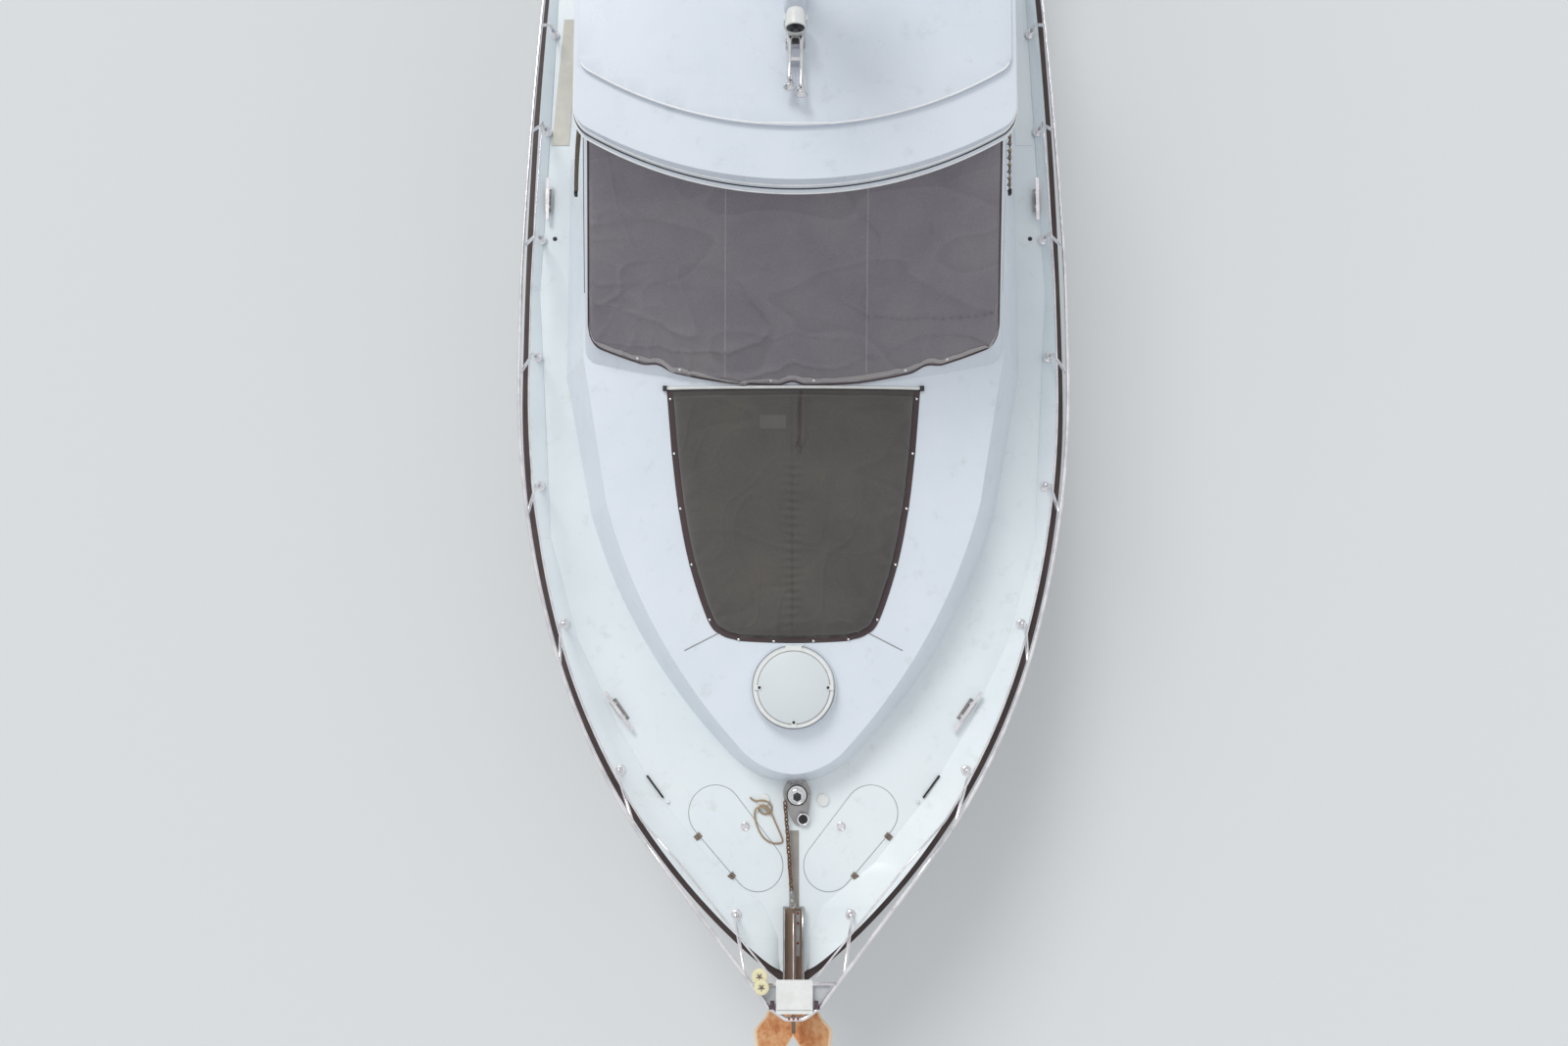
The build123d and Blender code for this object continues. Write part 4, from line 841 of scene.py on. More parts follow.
def addPadCover():
    c = padCover
    columns, rows = c["columns"], c["rows"]
    shape = bmesh.new()
    top = []
    for v in stations(0, 1, rows):
        sideX, sideY = padSide(v)
        middleX = c["aft"] + (c["front"] - c["aft"]) * v
        row = []
        for i in range(columns + 1):
            u = math.sin((2 * i / columns - 1) * math.pi / 2 * 0.92) / math.sin(math.pi / 2 * 0.92)
            x = middleX + (sideX - middleX) * u * u
            row.append(shape.verts.new(onTrunk(x, sideY * u, padRise(x, sideY * u))))
        top.append(row)
    fillGrid(shape, top)
    rim = [top[j][i] for j, i in rimOf(columns, rows)]
    under = [shape.verts.new(onTrunk(v.co.x, v.co.y, 0.001)) for v in rim]
    wall(shape, rim, under)
    shape.faces.new(under)
    pad = addShape("sunpadCover", shape, "padCanvas")
    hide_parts("sunpad")
    for side in (-1, 1):
        edge = [Vector((p.x, side * p.y, 0)) for p in padRim]
        hem = []
        for inset in (0.002, 0.02, 0.045):
            spots = []
            for k, p in enumerate(edge):
                a, b = edge[max(k - 1, 0)], edge[min(k + 1, len(edge) - 1)]
                spots.append(p + Vector((b.y - a.y, a.x - b.x, 0)).normalized() * side * inset)
            hem.append([onTrunk(p.x, p.y, c["hemTop"]) for p in spots])
        strip(f"padHem{side + 1}", hem, "hemCanvas")
    front = [[(c["noseX"] + c["noseBow"] * (1 - abs(y) / 0.4) - inset, y, trunkZ(c["noseX"], y, c["hemTop"]))
              for y in stations(-0.4, 0.4, 32)] for inset in (0.002, 0.045)]
    strip("padHemFront", front, "hemCanvas")
    joined("padSnaps", [dome("snap", (x, side * y * 0.985, trunkZ(x, y * 0.985, 0.006)), 0.011, "chrome")
                        for side in (-1, 1) for x, y in c["snaps"]])
    barX, barY, lift = c["bar"]
    tube("padBar", [onTrunk(barX, y, lift) for y in stations(-barY, barY, 40)], 0.012, "whitePlastic")
    endY, endSize = 0.95, (0.036, 0.03, 0.03)
    joined("padBarEnds", [block((barX, side * endY, trunkZ(barX, endY, lift)), endSize, "darkPlastic")
                          for side in (-1, 1)])
    # a dark strip along the fold near the aft edge: painted shade of the fold
    foldX, long, foldY, slant = c["fold"]
    fold = []
    for t in stations(0, 1, 30):
        x, y = foldX + long * t, foldY - slant * t
        fold.append(Vector((x, y, trunkZ(x, 0.05, padRise(x, y) + 0.0012))))
    strip("padFoldShadow", [[p + Vector((0, d, 0)) for p in fold] for d in (-0.016, -0.006, 0.004)], "hemCanvas")
    x0, x1, y0, y1 = c["patch"]
    strip("padPatch", [[onTrunk(x, y, padRise(x, y) + 0.0012) for y in stations(y0, y1, 12)]
                       for x in stations(x0, x1, 8)], "patchCanvas")


addPadCover()
print("sunpad cover made")


# softened edges of the plainer solids

edgeWidths = {
    "rub_rail": 0.02, "gunwale": 0.012, "roof_panel": 0.006, "swim_platform": 0.02, "cockpit_seat": 0.02,
    "engine_hatch": 0.006, "transom_gate": 0.008, "windlass_base": 0.008, "cleats": 0.009,
    "bow_roller": 0.003,
    "helm_console": 0.02, "saloon_seats": 0.04, "mast": 0.012, "hatch_plinth": 0.006, "hinge_leaves": 0.0012,
    "foot_switches": 0.012, "engines": 0.03, "saloon_door": 0.004,
}
for name, width in edgeWidths.items():
    soften(nodes[name], width)
print("edges softened")


# round foredeck hatch

hatch = {"centre": (4.435, 0.0), "seat": 1.985, "top": 2.0153, "pane": 0.262, "latches": (90, 270, 0)}


def addHatchDetails():
    x, y = hatch["centre"]
    top, pane = hatch["top"], hatch["pane"]
    parts = []
    for turn in map(turned, hatch["latches"]):
        spot = Vector((x, y, top + 0.006)) + turn @ Vector((pane, 0, 0))
        knob = Vector((x, y, top + 0.013)) + turn @ Vector((pane - 0.012, 0, 0))
        parts.append(block(spot, (0.052, 0.034, 0.014), "whitePlastic", turn, body="foredeck_hatch"))
        parts.append(dome("knob", knob, 0.011, "darkPlastic", body="foredeck_hatch"))
    joined("hatchLatches", parts)
    rings = (("hatchPane", "acrylic", top, "foredeck_hatch",
              ((0, -0.012), (pane, -0.012), (pane, 0.002), (0.257, 0.005), (0, 0.008))),
             ("hatchSeal", "greySeal", top, "foredeck_hatch",
              ((pane, -0.002), (pane, 0.003), (0.267, 0.003), (0.267, -0.002))),
             ("hatchGasket", "greySeal", hatch["seat"] - 0.0005, "hull",
              ((0.3, 0.0), (0.3, 0.004), (0.306, 0.004), (0.306, 0.0))))
    for name, finish, z, body, profile in rings:
        ring = lathe(name, profile, (x, y, z), finish, turns=96, body=body)
        if name == "hatchPane":
            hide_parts("hatch_glass")


addHatchDetails()


# windlass, chain, strip under it and rope

windlass = {
    "place": (5.257, 0.028), "pipe": (5.442, 0.073, 0.042), "screws": (0.093, 0.0415, 0.007),
    "gypsyShade": ((0.052, 0.098), (0.052, 0.101), (0.0785, 0.101), (0.0785, 0.084)),
    "drumHub": ((0.034, 0.175), (0.034, 0.181), (0.026, 0.185), (0, 0.186)),
    "drumRim": ((0.058, 0.176), (0.056, 0.181), (0.047, 0.181), (0.045, 0.176)),
    "pipeMouth": ((0.034, -0.002), (0.034, 0.004), (0.044, 0.006), (0.047, 0.0), (0.047, -0.004)),
    "pipeMouthShadow": ((0.034, 0.0012), (0, 0.0012)),
    "strip": {"aft": 5.53, "front": 6.081, "sides": (-0.03, 0.042), "lift": 0.004},
}


def addWindlassDetails():
    w = windlass
    drum, pipe = onDeck(*w["place"]), onDeck(*w["pipe"])
    # a black ring on the steel gypsy: painted shade
    lathe("gypsyShade", w["gypsyShade"], drum, "blackRubber", body="windlass_drum", slot="steel")
    lathe("drumHub", w["drumHub"], drum, "darkPlastic", turns=6, body="windlass_drum")
    lathe("drumRim", w["drumRim"], drum, "chrome", body="windlass_drum")
    lathe("pipeMouth", w["pipeMouth"], pipe, "steel")
    # a black disc in the chain pipe's mouth: painted shade inside the hole
    lathe("pipeMouthShadow", w["pipeMouthShadow"], pipe, "blackRubber")
    ring, lift, radius = w["screws"]
    spots = [drum + turned(30 + 60 * k) @ Vector((ring, 0, lift)) for k in range(6)]
    joined("baseScrews", [dome("screw", spot, radius, "dullSteel") for spot in spots])
    rubber = w["strip"]
    strip("chafeStrip", [[onDeck(x, y, rubber["lift"]) for y in rubber["sides"]]
                         for x in stations(rubber["aft"], rubber["front"], 29)], "chafeRubber")


chainLine = {"start": (5.323, -0.06, 0.068), "end": (6.062, -0.006, 0.088), "link": (0.0056, 0.05, 0.036),
             "pitch": 0.0292, "sag": 0.012, "bow": (0.007, 0.062, 0.05)}


def chainLink(centre, along, up, size, finish):
    wireRadius, long, wide = size
    side = along.cross(up).normalized()
    straight, r = (long - wide) / 2, wide / 2 - wireRadius
    points = []
    for end, base in ((1, -90), (-1, 90)):
        for a in [math.radians(base + 22.5 * k) for k in range(9)]:
            points.append(centre + along * (end * straight + r * math.cos(a)) + side * (r * math.sin(a)))
    return tube("link", points, wireRadius, finish, 8, closed=True)


def addChain():
    c = chainLine
    start, end = onDeck(*c["start"]), onDeck(*c["end"])
    along = (end - start).normalized()
    count = int((end - start).length / c["pitch"])
    links = []
    for k in range(count - 3):
        turn = Matrix.Rotation(math.radians(45 + 90 * (k % 2) + random.uniform(-9, 9)), 3, along)
        sag = -c["sag"] * math.sin(math.pi * k / count)
        centre = start + along * (k * c["pitch"]) + Vector((0, 0.002 * random.uniform(-1, 1), sag))
        links.append(chainLink(centre, along, turn @ Vector((0, 0, 1)), c["link"], "chainIron"))
    joined("anchorChain", links, "chain")
    base = start + along * ((count - 3) * c["pitch"])
    profile = ((0, -0.02), (0.013, -0.018), (0.016, 0.0), (0.016, 0.03), (0.009, 0.036), (0.009, 0.046),
               (0.018, 0.05), (0.018, 0.066), (0, 0.07))
    joined("chainSwivel", [lathe("swivel", profile, base, "dullSteel", along, slot="galvanised"),
                           chainLink(base + along * 0.082, along, Vector((0, 0, 1)), c["bow"], "dullSteel")])


ropeLine = {
    "radius": 0.0065, "lift": 0.008,
    "spots": ((5.288, -0.327, 0), (5.319, -0.298, 0), (5.3, -0.234, 0.03), (5.327, -0.17, 0.005),
              (5.388, -0.156, 0), (5.419, -0.213, 0), (5.38, -0.27, 0), (5.327, -0.241, 0.036),
              (5.365, -0.178, 0.014), (5.442, -0.149, 0), (5.55, -0.099, 0), (5.619, -0.071, 0),
              (5.627, -0.149, 0), (5.588, -0.227, 0), (5.496, -0.277, 0), (5.396, -0.298, 0.008),
              (5.35, -0.27, 0.03), (5.357, -0.206, 0.03), (5.411, -0.178, 0.012)),
}


def addRope():
    radius = ropeLine["radius"]
    points = [onDeck(x, y, ropeLine["lift"] + lift) for x, y, lift in ropeLine["spots"]]
    curve = bpy.data.curves.new("deckRope", "CURVE")
    curve.dimensions = "3D"
    curve.resolution_u = 12
    curve.bevel_depth = radius
    curve.bevel_resolution = 4
    curve.use_fill_caps = True
    spline = curve.splines.new("NURBS")
    spline.points.add(len(points) - 1)
    for spot, point in zip(spline.points, points):
        spot.co = (*point, 1)
    spline.order_u = 3
    spline.use_endpoint_u = True
    rope = bpy.data.objects.new("deckRope", curve)
    bpy.context.scene.collection.objects.link(rope)
    curve.materials.append(finishes["rope"])
    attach(rope, "hull")
    line = [points[0]]
    for k in range(1, len(points) - 1):  # the curve that a NURBS of order 3 draws through its spans
        end = points[-1] if k == len(points) - 2 else (points[k] + points[k + 1]) / 2
        line += bendThrough(line[-1], points[k], end, 12)[1:]


addWindlassDetails()
addChain()
addRope()


# fairleads and cleats

cleatPlaces = ((4.64, 1.335, 0.003, -36), (0.5, 2.015, 0.03, 0), (-5.65, 1.64, 0.03, 4))
cleatPlate = (0.19, 0.06, 0.006)


def addFairleadsAndCleats():
    for side in (-1, 1):
        ends = [onDeck(x, side * y, 0.0145) for x, y in ((5.126, 1.112), (5.29, 0.985))]
        # a black tube along each fairlead's slot: painted shade inside the opening
        tube(f"fairleadSlotShadow{side + 1}", ends, 0.0075, "blackRubber")
        dome(f"fairleadDot{side + 1}", onDeck(5.325, side * 0.948, 0.008), 0.012, "chrome")
    joined("cleatPlates", [block(onDeck(x, side * y, lift), cleatPlate, "dullSteel", turned(side * turn))
                           for x, y, lift, turn in cleatPlaces for side in (-1, 1)])


addFairleadsAndCleats()
print("foredeck fittings made")


# guard rails, pulpit and its step

railLines = {
    "height": 0.63, "middle": 0.33, "inset": 0.07, "lean": 0.02, "start": -1.65, "aft": -1.45, "joint": 5.4,
    "posts": (-0.977, -0.1, 0.837, 1.838, 2.895, 3.98, 5.082), "footInset": 0.06, "rise": 0.17,
    "rake": 0.285, "tube": 0.014, "postTube": 0.012, "midTube": 0.0075, "midStart": -0.04,
    "foot": ((0.04, -0.012), (0.04, 0.007), (0.036, 0.011), (0.02, 0.014), (0.019, 0.045), (0.012, 0.047)),
    "pulpit": ((5.72, 0.85), (6.04, 0.59), (6.35, 0.34), (6.56, 0.172), (6.632, 0.06)),
    "bends": (0.6, 0.9, 0.9, 0.25, 0.055),
    "loop": ((5.72, 0.8), (6.06, 0.51), (6.3, 0.3), (6.49, 0.135), (6.53, 0.07)),
    "loopBends": (0.6, 0.9, 0.6, 0.06, 0.03),
    "crossbar": (6.41, 0.29), "step": (6.376, 6.59, 0.125), "stepThickness": 0.022,
}


def railSpot(x, height, side):
    y = halfBeam(x) - railLines["inset"] - max(0.0, railLines["lean"] * (widestX - x))
    return onDeck(x, side * y, height)


def filleted(points, bends, steps=10):  # a line through corners, each rounded to its own radius
    line = [Vector(p) for p in points]
    out = [line[0]]
    for k in range(1, len(line) - 1):
        a, b, c = line[k - 1:k + 2]
        back, ahead = (a - b).normalized(), (c - b).normalized()
        turn = math.pi - back.angle(ahead)
        reach = min(bends[k - 1] * math.tan(turn / 2), 0.49 * (a - b).length, 0.49 * (c - b).length)
        out += bendThrough(b + back * reach, b, b + ahead * reach, steps)
    return out + [line[-1]]


def railPost(x, y, top):
    r = railLines
    ground = Vector((x, y, landing(x, y)))
    post = filleted([ground, onDeck(x, y, r["rise"]), top], (0.06,), 8)
    return [tube("post", post, r["postTube"], "steel", 14),
            lathe("foot", r["foot"], ground, "steel", turns=24)]


def addGuardRails():
    r = railLines
    for side, name in boatSides:
        line = [railSpot(x, r["height"], side) for x in stations(r["aft"], r["joint"], 40)]
        corner = filleted([railSpot(r["start"], 0.0, side), line[0], line[1]], (0.15,), 12)
        middle = [railSpot(x, r["middle"], side) for x in stations(r["midStart"], r["joint"], 40)]
        parts = [tube("top", corner[:-1] + line[1:], r["tube"], "steel", 16),
                 tube("middle", middle, r["midTube"], "steel", 10)]
        for x in r["posts"]:
            parts += railPost(x, side * (halfBeam(x) - r["footInset"]),
                              railSpot(x + r["rake"], r["height"], side))
        joined(f"guardRail_{name}", parts, f"guard_rail_{name}")


def pulpitLine(points, bends, height):
    half = [railSpot(railLines["joint"], height, 1)] + [onDeck(x, y, height) for x, y in points]
    return filleted(half + [Vector((p.x, -p.y, p.z)) for p in reversed(half)], [*bends, *reversed(bends)])


def roundedRectangle(x0, x1, y0, y1, radius):
    points = []
    for cx, cy, start in ((x1 - radius, y1 - radius, 0), (x0 + radius, y1 - radius, 90),
                          (x0 + radius, y0 + radius, 180), (x1 - radius, y0 + radius, 270)):
        for angle in [math.radians(start + 15 * k) for k in range(7)]:
            points.append((cx + radius * math.cos(angle), cy + radius * math.sin(angle)))
    return points


def addPulpit():
    r = railLines
    parts = [tube("rail", pulpitLine(r["pulpit"], r["bends"], r["height"]), r["tube"], "steel", 16),
             tube("loop", pulpitLine(r["loop"], r["loopBends"], r["middle"]), r["midTube"], "steel", 10)]
    for side in (1, -1):
        parts += railPost(6.119, side * 0.425, onDeck(6.352, side * 0.338, r["height"]))
        strut = (onDeck(6.505, side * 0.12, r["middle"]), onDeck(6.56, side * 0.15, r["height"]))
        parts.append(tube("strut", strut, r["midTube"], "steel"))
    x, half = r["crossbar"]
    low = r["height"] + r["tube"]
    parts.append(tube("crossbar", [onDeck(x, y, low - r["postTube"]) for y in (-half, half)], r["postTube"],
                      "steel", 14))
    joined("pulpitRails", parts, "pulpit")
    aft, front, half = r["step"]
    outline = roundedRectangle(aft, front, -half, half, 0.012)
    plate = slab("pulpitStep", outline, low, low + r["stepThickness"], "whitePlastic", 0.004)
    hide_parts("pulpit_seat")


addGuardRails()
addPulpit()
print("rails and pulpit made")


# anchor: two hollow flukes on a ridge, hanging under the stem head

anchorBlade = {
    "heel": 7.31, "drop": 0.285, "tilt": math.radians(38), "thickness": 0.016, "notch": (7.15, 1.045),
    "sections": ((0, 0.27, 0.095), (0.075, 0.285, 0.105), (0.19, 0.3, 0.12), (0.33, 0.205, 0.085),
                 (0.56, 0.014, 0.006)),
    "shank": ((6.09, 0.096), (6.76, 0.118), (6.9, 0.09), (6.99, -0.02), (6.99, -0.432), (6.93, -0.486),
              (6.91, -0.04), (6.85, 0.06), (6.74, 0.0883), (6.09, 0.07)),
    "shankHalf": 0.014, "shankTop": 0.118, "columns": 48, "rows": 30,
}
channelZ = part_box("anchor")[1].z - anchorBlade["shankTop"]


def bladePoint(run, v, lift):
    a = anchorBlade
    for (r0, w0, d0), (r1, w1, d1) in zip(a["sections"], a["sections"][1:]):
        if run <= r1 + 0.0001:
            share = smoothStep((run - r0) / (r1 - r0)) * 0.5 + 0.5 * (run - r0) / (r1 - r0)
            width, dish = w0 + (w1 - w0) * share, d0 + (d1 - d0) * share
            break
    out = dish * abs(v) ** 1.15 + lift
    x = a["heel"] - run * math.cos(a["tilt"]) - out * math.sin(a["tilt"])
    return Vector((x, width * v, channelZ - a["drop"] - run * math.sin(a["tilt"])
                   + out * math.cos(a["tilt"])))


def bladeStart(v, lift):
    base, slope = anchorBlade["notch"]
    for run in [0.002 * k for k in range(200)]:
        spot = bladePoint(run, v, lift)
        if spot.x <= base + slope * abs(spot.y):
            return run
    return 0.0


def addAnchor():
    a = anchorBlade
    columns, rows = a["columns"], a["rows"]
    long = a["sections"][-1][0]
    shape = bmesh.new()
    sheets, worn = [], []
    for lift in (0.0, a["thickness"]):
        lanes = [(v, bladeStart(v, lift)) for v in stations(-1, 1, columns)]
        grid = [[shape.verts.new(bladePoint(start + (long - start) * j / rows, v, lift))
                 for v, start in lanes] for j in range(rows + 1)]
        sheets.append(grid)
        worn += [face for n, face in enumerate(fillGrid(shape, grid))
                 if n < columns or n % columns < 2 or n % columns >= columns - 2]
    low, high = [[grid[j][i] for j, i in rimOf(columns, rows)] for grid in sheets]
    worn += wall(shape, low, high)
    for face in worn:
        face.material_index = 1
    blade = addShape("anchorBlade", shape, "iron")
    blade.data.materials.append(finishes["wornIron"])
    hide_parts("anchor")
    profile = bmesh.new()
    left, right = [[profile.verts.new((x, y, channelZ + z)) for x, z in a["shank"]]
                   for y in (-a["shankHalf"], a["shankHalf"])]
    profile.faces.new(left)
    profile.faces.new(right[::-1])
    for i in range(len(left)):
        profile.faces.new((left[i - 1], left[i], right[i], right[i - 1]))
    soften(addShape("anchorShank", profile, "shankIron", smooth=False), 0.005)


bowChannel = {
    "floor": ((6.085, -0.06), (6.64, -0.06), (6.64, 0.06), (6.085, 0.06)), "floorLifts": (0.004, 0.0095),
    "plate": ((6.105, 0.018), (6.42, 0.018), (6.42, 0.048), (6.105, 0.048)), "plateLifts": (0.008, 0.014),
    "bolts": (6.12, 6.19, 6.33), "boltY": 0.033, "boltRadius": 0.009,
    "lip": (6.08, 6.3, 6.64), "lipY": 0.068, "lipLift": 0.012, "lipRadius": 0.007,
    "edge": ((6.095, 0.097), (6.4, 0.107), (6.74, 0.1185)), "edgeY": -0.002, "edgeRadius": 0.005,
}


def addChannel():
    c = bowChannel
    parts = [slab("floor", c["floor"], *c["floorLifts"], "shankIron"),
             slab("plate", c["plate"], *c["plateLifts"], "dullSteel")]
    for x in c["bolts"]:
        parts.append(dome("bolt", onDeck(x, c["boltY"], c["plateLifts"][1]), c["boltRadius"], "rustBolt"))
    for y in (-c["lipY"], c["lipY"]):
        line = [onDeck(x, y, c["lipLift"]) for x in c["lip"]]
        parts.append(tube("lip", line, c["lipRadius"], "steel", 10))
    edge = [(x, c["edgeY"], channelZ + z) for x, z in c["edge"]]
    joined("bowChannel", parts + [tube("shankEdge", edge, c["edgeRadius"], "steel", 8)])


addAnchor()
addChannel()
print("anchor made")


# locker lids and their hinges, side deck pads

lockerEnds = ((5.4, 0.59, 0.205), (5.785, 0.265, 0.19))
lidHinges = {"shares": (0.1, 0.86), "out": 0.008, "lift": 0.009, "barrel": 0.006, "leafEnds": (-0.02, 0.034),
             "knuckles": ((-0.008, 0.008), (-0.022, -0.009), (0.009, 0.022))}
lidPull = {"place": (5.502, 0.363), "radius": 0.026, "wire": 0.0045, "lift": 0.006}


def lidOutline(side, inset):
    (x1, y1, r1), (x2, y2, r2) = lockerEnds
    run = math.hypot(x2 - x1, y2 - y1)
    base = math.atan2(y2 - y1, x2 - x1)
    lean = math.acos((r1 - r2) / run)
    points = []
    for x, y, r, first, last in ((x1, y1, r1, base + lean, base + 2 * math.pi - lean),
                                 (x2, y2, r2, base - lean, base + lean)):
        for angle in stations(first, last, 32):
            points.append((x + (r - inset) * math.cos(angle), side * (y + (r - inset) * math.sin(angle))))
    return points


def hingeSpot(side, share, out):
    (x1, y1, r1), (x2, y2, r2) = lockerEnds
    run = math.hypot(x2 - x1, y2 - y1)
    nx, ny = -(y2 - y1) / run, (x2 - x1) / run
    reach = r1 + share * (r2 - r1) + out
    x = x1 + share * (x2 - x1) + nx * reach
    y = y1 + share * (y2 - y1) + ny * reach
    return x, side * y, math.atan2(side * ny, nx)


def addLids():
    h, p = lidHinges, lidPull
    px, py = p["place"]
    for side, name in boatSides:
        body = f"locker_lid_{name}"
        lid = slab(f"lockerLid_{name}", lidOutline(side, 0.005), -0.028, 0.0005, "deck", 0.003, body=body)
        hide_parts(body)
        seat = onDeck(px, side * py, p["lift"])
        ring = [seat + turned(a) @ Vector((p["radius"], 0, 0)) for a in range(-60, 241, 12)]
        plate = ((0.034, -0.006), (0.034, -0.002), (0.03, -0.0005), (0, -0.0005))
        moving = [tube("pull", ring, p["wire"], "chrome", 10, body=body),
                  lathe("plate", plate, seat, "steel", body=body)]
        fixed = []
        inner, outer = h["leafEnds"]
        first, *others = h["knuckles"]
        for share in h["shares"]:
            for group, rider, low, high, spans in ((moving, body, inner, h["out"], [first]),
                                                   (fixed, "hull", h["out"], outer, others)):
                x, y, turn = hingeSpot(side, share, (low + high) / 2)
                group.append(block(onDeck(x, y, 0.003), (high - low, 0.042, 0.005), "agedSteel",
                                   Matrix.Rotation(turn, 4, "Z"), body=rider))
                x, y, turn = hingeSpot(side, share, h["out"])
                for span in spans:
                    ends = [onDeck(x - math.sin(turn) * t, y + math.cos(turn) * t, h["lift"]) for t in span]
                    group.append(tube("knuckle", ends, h["barrel"], "agedSteel", 14, body=rider))
        joined(f"lidFittings_{name}", moving)
        joined(f"fixedLeaves_{name}", fixed)
        gutter = [onDeck(x, y, -0.006) for x, y in lidOutline(side, 0.0025)]
        tube(f"lidGutter_{name}", gutter, 0.0045, "greySeal", 8, closed=True)


sidePads = (
    ("mat", 0.006, ((-1.121, -1.813), (0.006, -1.864), (0.006, -2.008), (-1.121, -1.934))),
    ("deck", 0.005, ((-2.58, 1.745), (0.006, 1.864), (0.006, 2.0), (-2.58, 1.905))),
)

addLids()
joined("sideDeckPads", [slab("pad", outline, 0.0, high, finish) for finish, high, outline in sidePads],
       "side_deck_teak")
print("lids and pads made")


# pulpit: discs, shelf, brackets, bolts

pulpitParts = {
    "discs": ((6.352, -0.236, 0.054, 0.0), (6.418, -0.222, 0.051, 0.017)), "discX": 6.42, "discLift": 0.648,
    "shelf": ((6.412, -0.262), (6.412, 0.262), (6.6, 0.148), (6.6, -0.148)), "shelfLow": 0.606,
    "shelfHigh": 0.612, "bracket": (6.53, 0.148, 0.66), "fold": (6.564, 0.118, 0.6665),
    "bolts": (6.615, (-0.036, -0.006, 0.024), 0.676),
}


def addPulpitDetails():
    p = pulpitParts
    discs = []
    for x, y, r, lift in p["discs"]:
        spot = Vector((x, y, deckZ(p["discX"], p["discLift"]) + lift))
        profile = ((0, 0), (r * 0.94, 0), (r, 0.004), (r, 0.012), (r * 0.9, 0.016), (0.016, 0.016),
                   (0.014, 0.013), (0, 0.013))
        discs.append(lathe("disc", profile, spot, "creamPlastic"))
        for turn in [turned(72 * k) for k in range(5)]:
            star = spot + turn @ Vector((0.013, 0, 0.0165))
            discs.append(block(star, (0.022, 0.005, 0.0015), "bracketPlastic", turn))
    joined("railDiscs", discs)
    slab("pulpitShelf", p["shelf"], p["shelfLow"], p["shelfHigh"], "foldPlastic", 0.002)
    x, y, lift = p["bracket"]
    marks = []
    for side in (-1, 1):
        spot = onDeck(x, side * y, lift)
        marks.append(block(spot + Vector((0, 0, 0.006)), (0.046, 0.028, 0.03), "bracketPlastic"))
        marks.append(block(spot + Vector((0.02, side * 0.014, -0.008)), (0.014, 0.02, 0.05),
                           "bracketPlastic"))
    joined("seatBrackets", marks)
    x, half, lift = p["fold"]
    # a thin grey line across the white seat at its fold: painted shade in the fold
    tube("seatFoldShadow", [onDeck(x, y, lift) for y in (-half, half)], 0.0018, "greySeal", 6,
         slot="white_plastic")
    x, row, lift = p["bolts"]
    joined("pulpitBolts", [dome("bolt", onDeck(x, y, lift), 0.008, "rustBolt") for y in row])


addPulpitDetails()


# searchlight, horns, mast light

roofFittings = {
    "roofTop": 3.529, "lamp": (0.3, 0, 3.639), "trumpets": ((-0.036, 0.33), (0.036, 0.375)),
    "trumpetX": 0.372, "arm": (0.03, 0.008, 0.095), "armY": 0.068, "armLift": 0.075, "trumpetLift": 0.045,
    "hornFeet": (((0.392, 0, 3.535), (0.05, 0.12, 0.05)), ((0.52, 0, 3.545), (0.02, 0.096, 0.06))),
    "lens": ((0.056, 0.057), (0.04, 0.062), (0, 0.066)),
    "housing": ((0, -0.064), (0.03, -0.062), (0.05, -0.05), (0.06, -0.02), (0.062, 0.04), (0.066, 0.055),
                (0.066, 0.064), (0.058, 0.064), (0.056, 0.056), (0, 0.052)),
    "lampFoot": ((0.055, -0.03), (0.055, 0.004), (0.05, 0.016), (0.032, 0.024), (0.03, 0.05), (0, 0.05)),
    "mastLight": ((0.022, 0), (0.022, 0.02), (0.03, 0.024), (0.03, 0.06), (0.022, 0.066), (0, 0.068)),
    "mastTop": (-0.4, 0, 4.684),
}


def addRoofDetails():
    f = roofFittings
    z = f["roofTop"]
    ahead = (1, 0, 0)
    lamp = [lathe("housing", f["housing"], f["lamp"], "whitePlastic", ahead),
            lathe("lens", f["lens"], f["lamp"], "lens", ahead),
            lathe("foot", f["lampFoot"], (f["lamp"][0], 0, z), "whitePlastic")]
    for y in (-f["armY"], f["armY"]):
        lamp.append(block((f["lamp"][0], y, z + f["armLift"]), f["arm"], "whitePlastic"))
    joined("searchlightBody", lamp, "searchlight")
    horns = []
    for y, long in f["trumpets"]:
        profile = ((0, 0), (0.016, 0.002), (0.018, 0.02), (0.012, 0.045), (0.0105, long - 0.13),
                   (0.014, long - 0.08), (0.022, long - 0.035), (0.036, long - 0.008), (0.039, long),
                   (0.034, long - 0.003), (0.018, long - 0.05), (0, long - 0.08))
        spot = (f["trumpetX"], y, z + f["trumpetLift"])
        horns.append(lathe("trumpet", profile, spot, "chrome", ahead, 32))
    horns += [block(centre, size, "chrome") for centre, size in f["hornFeet"]]
    joined("hornTrumpets", horns, "horns")
    lathe("mastLights", f["mastLight"], f["mastTop"], "whitePlastic")


addRoofDetails()
print("roof fittings made")


# roof lip with its painted highlight and shade lines, painted shade of the trunk creases, straps of the
# screen cover

roofEdge = {
    "front": 1.226, "corner": 0.826, "side": 1.385, "round": 0.16, "sideGrowth": 0.3, "panelHeight": 0.024,
    "profile": ((-0.012, 3.404), (0.002, 3.398), (0.018, 3.388), (0.038, 3.372), (0.05, 3.362),
                (0.055, 3.352), (0.052, 3.343), (0.04, 3.338), (0.0, 3.336)), "camber": 0.006,
    # the lip's lines: the two bright ones are painted highlights, the dark one between them is painted shade
    "highlightAndShadeLines": ((0.016, 3.392, 0.0065, "brightPlastic"), (0.034, 3.379, 0.004, "darkPlastic"),
              (0.053, 3.356, 0.0065, "brightPlastic")),
}


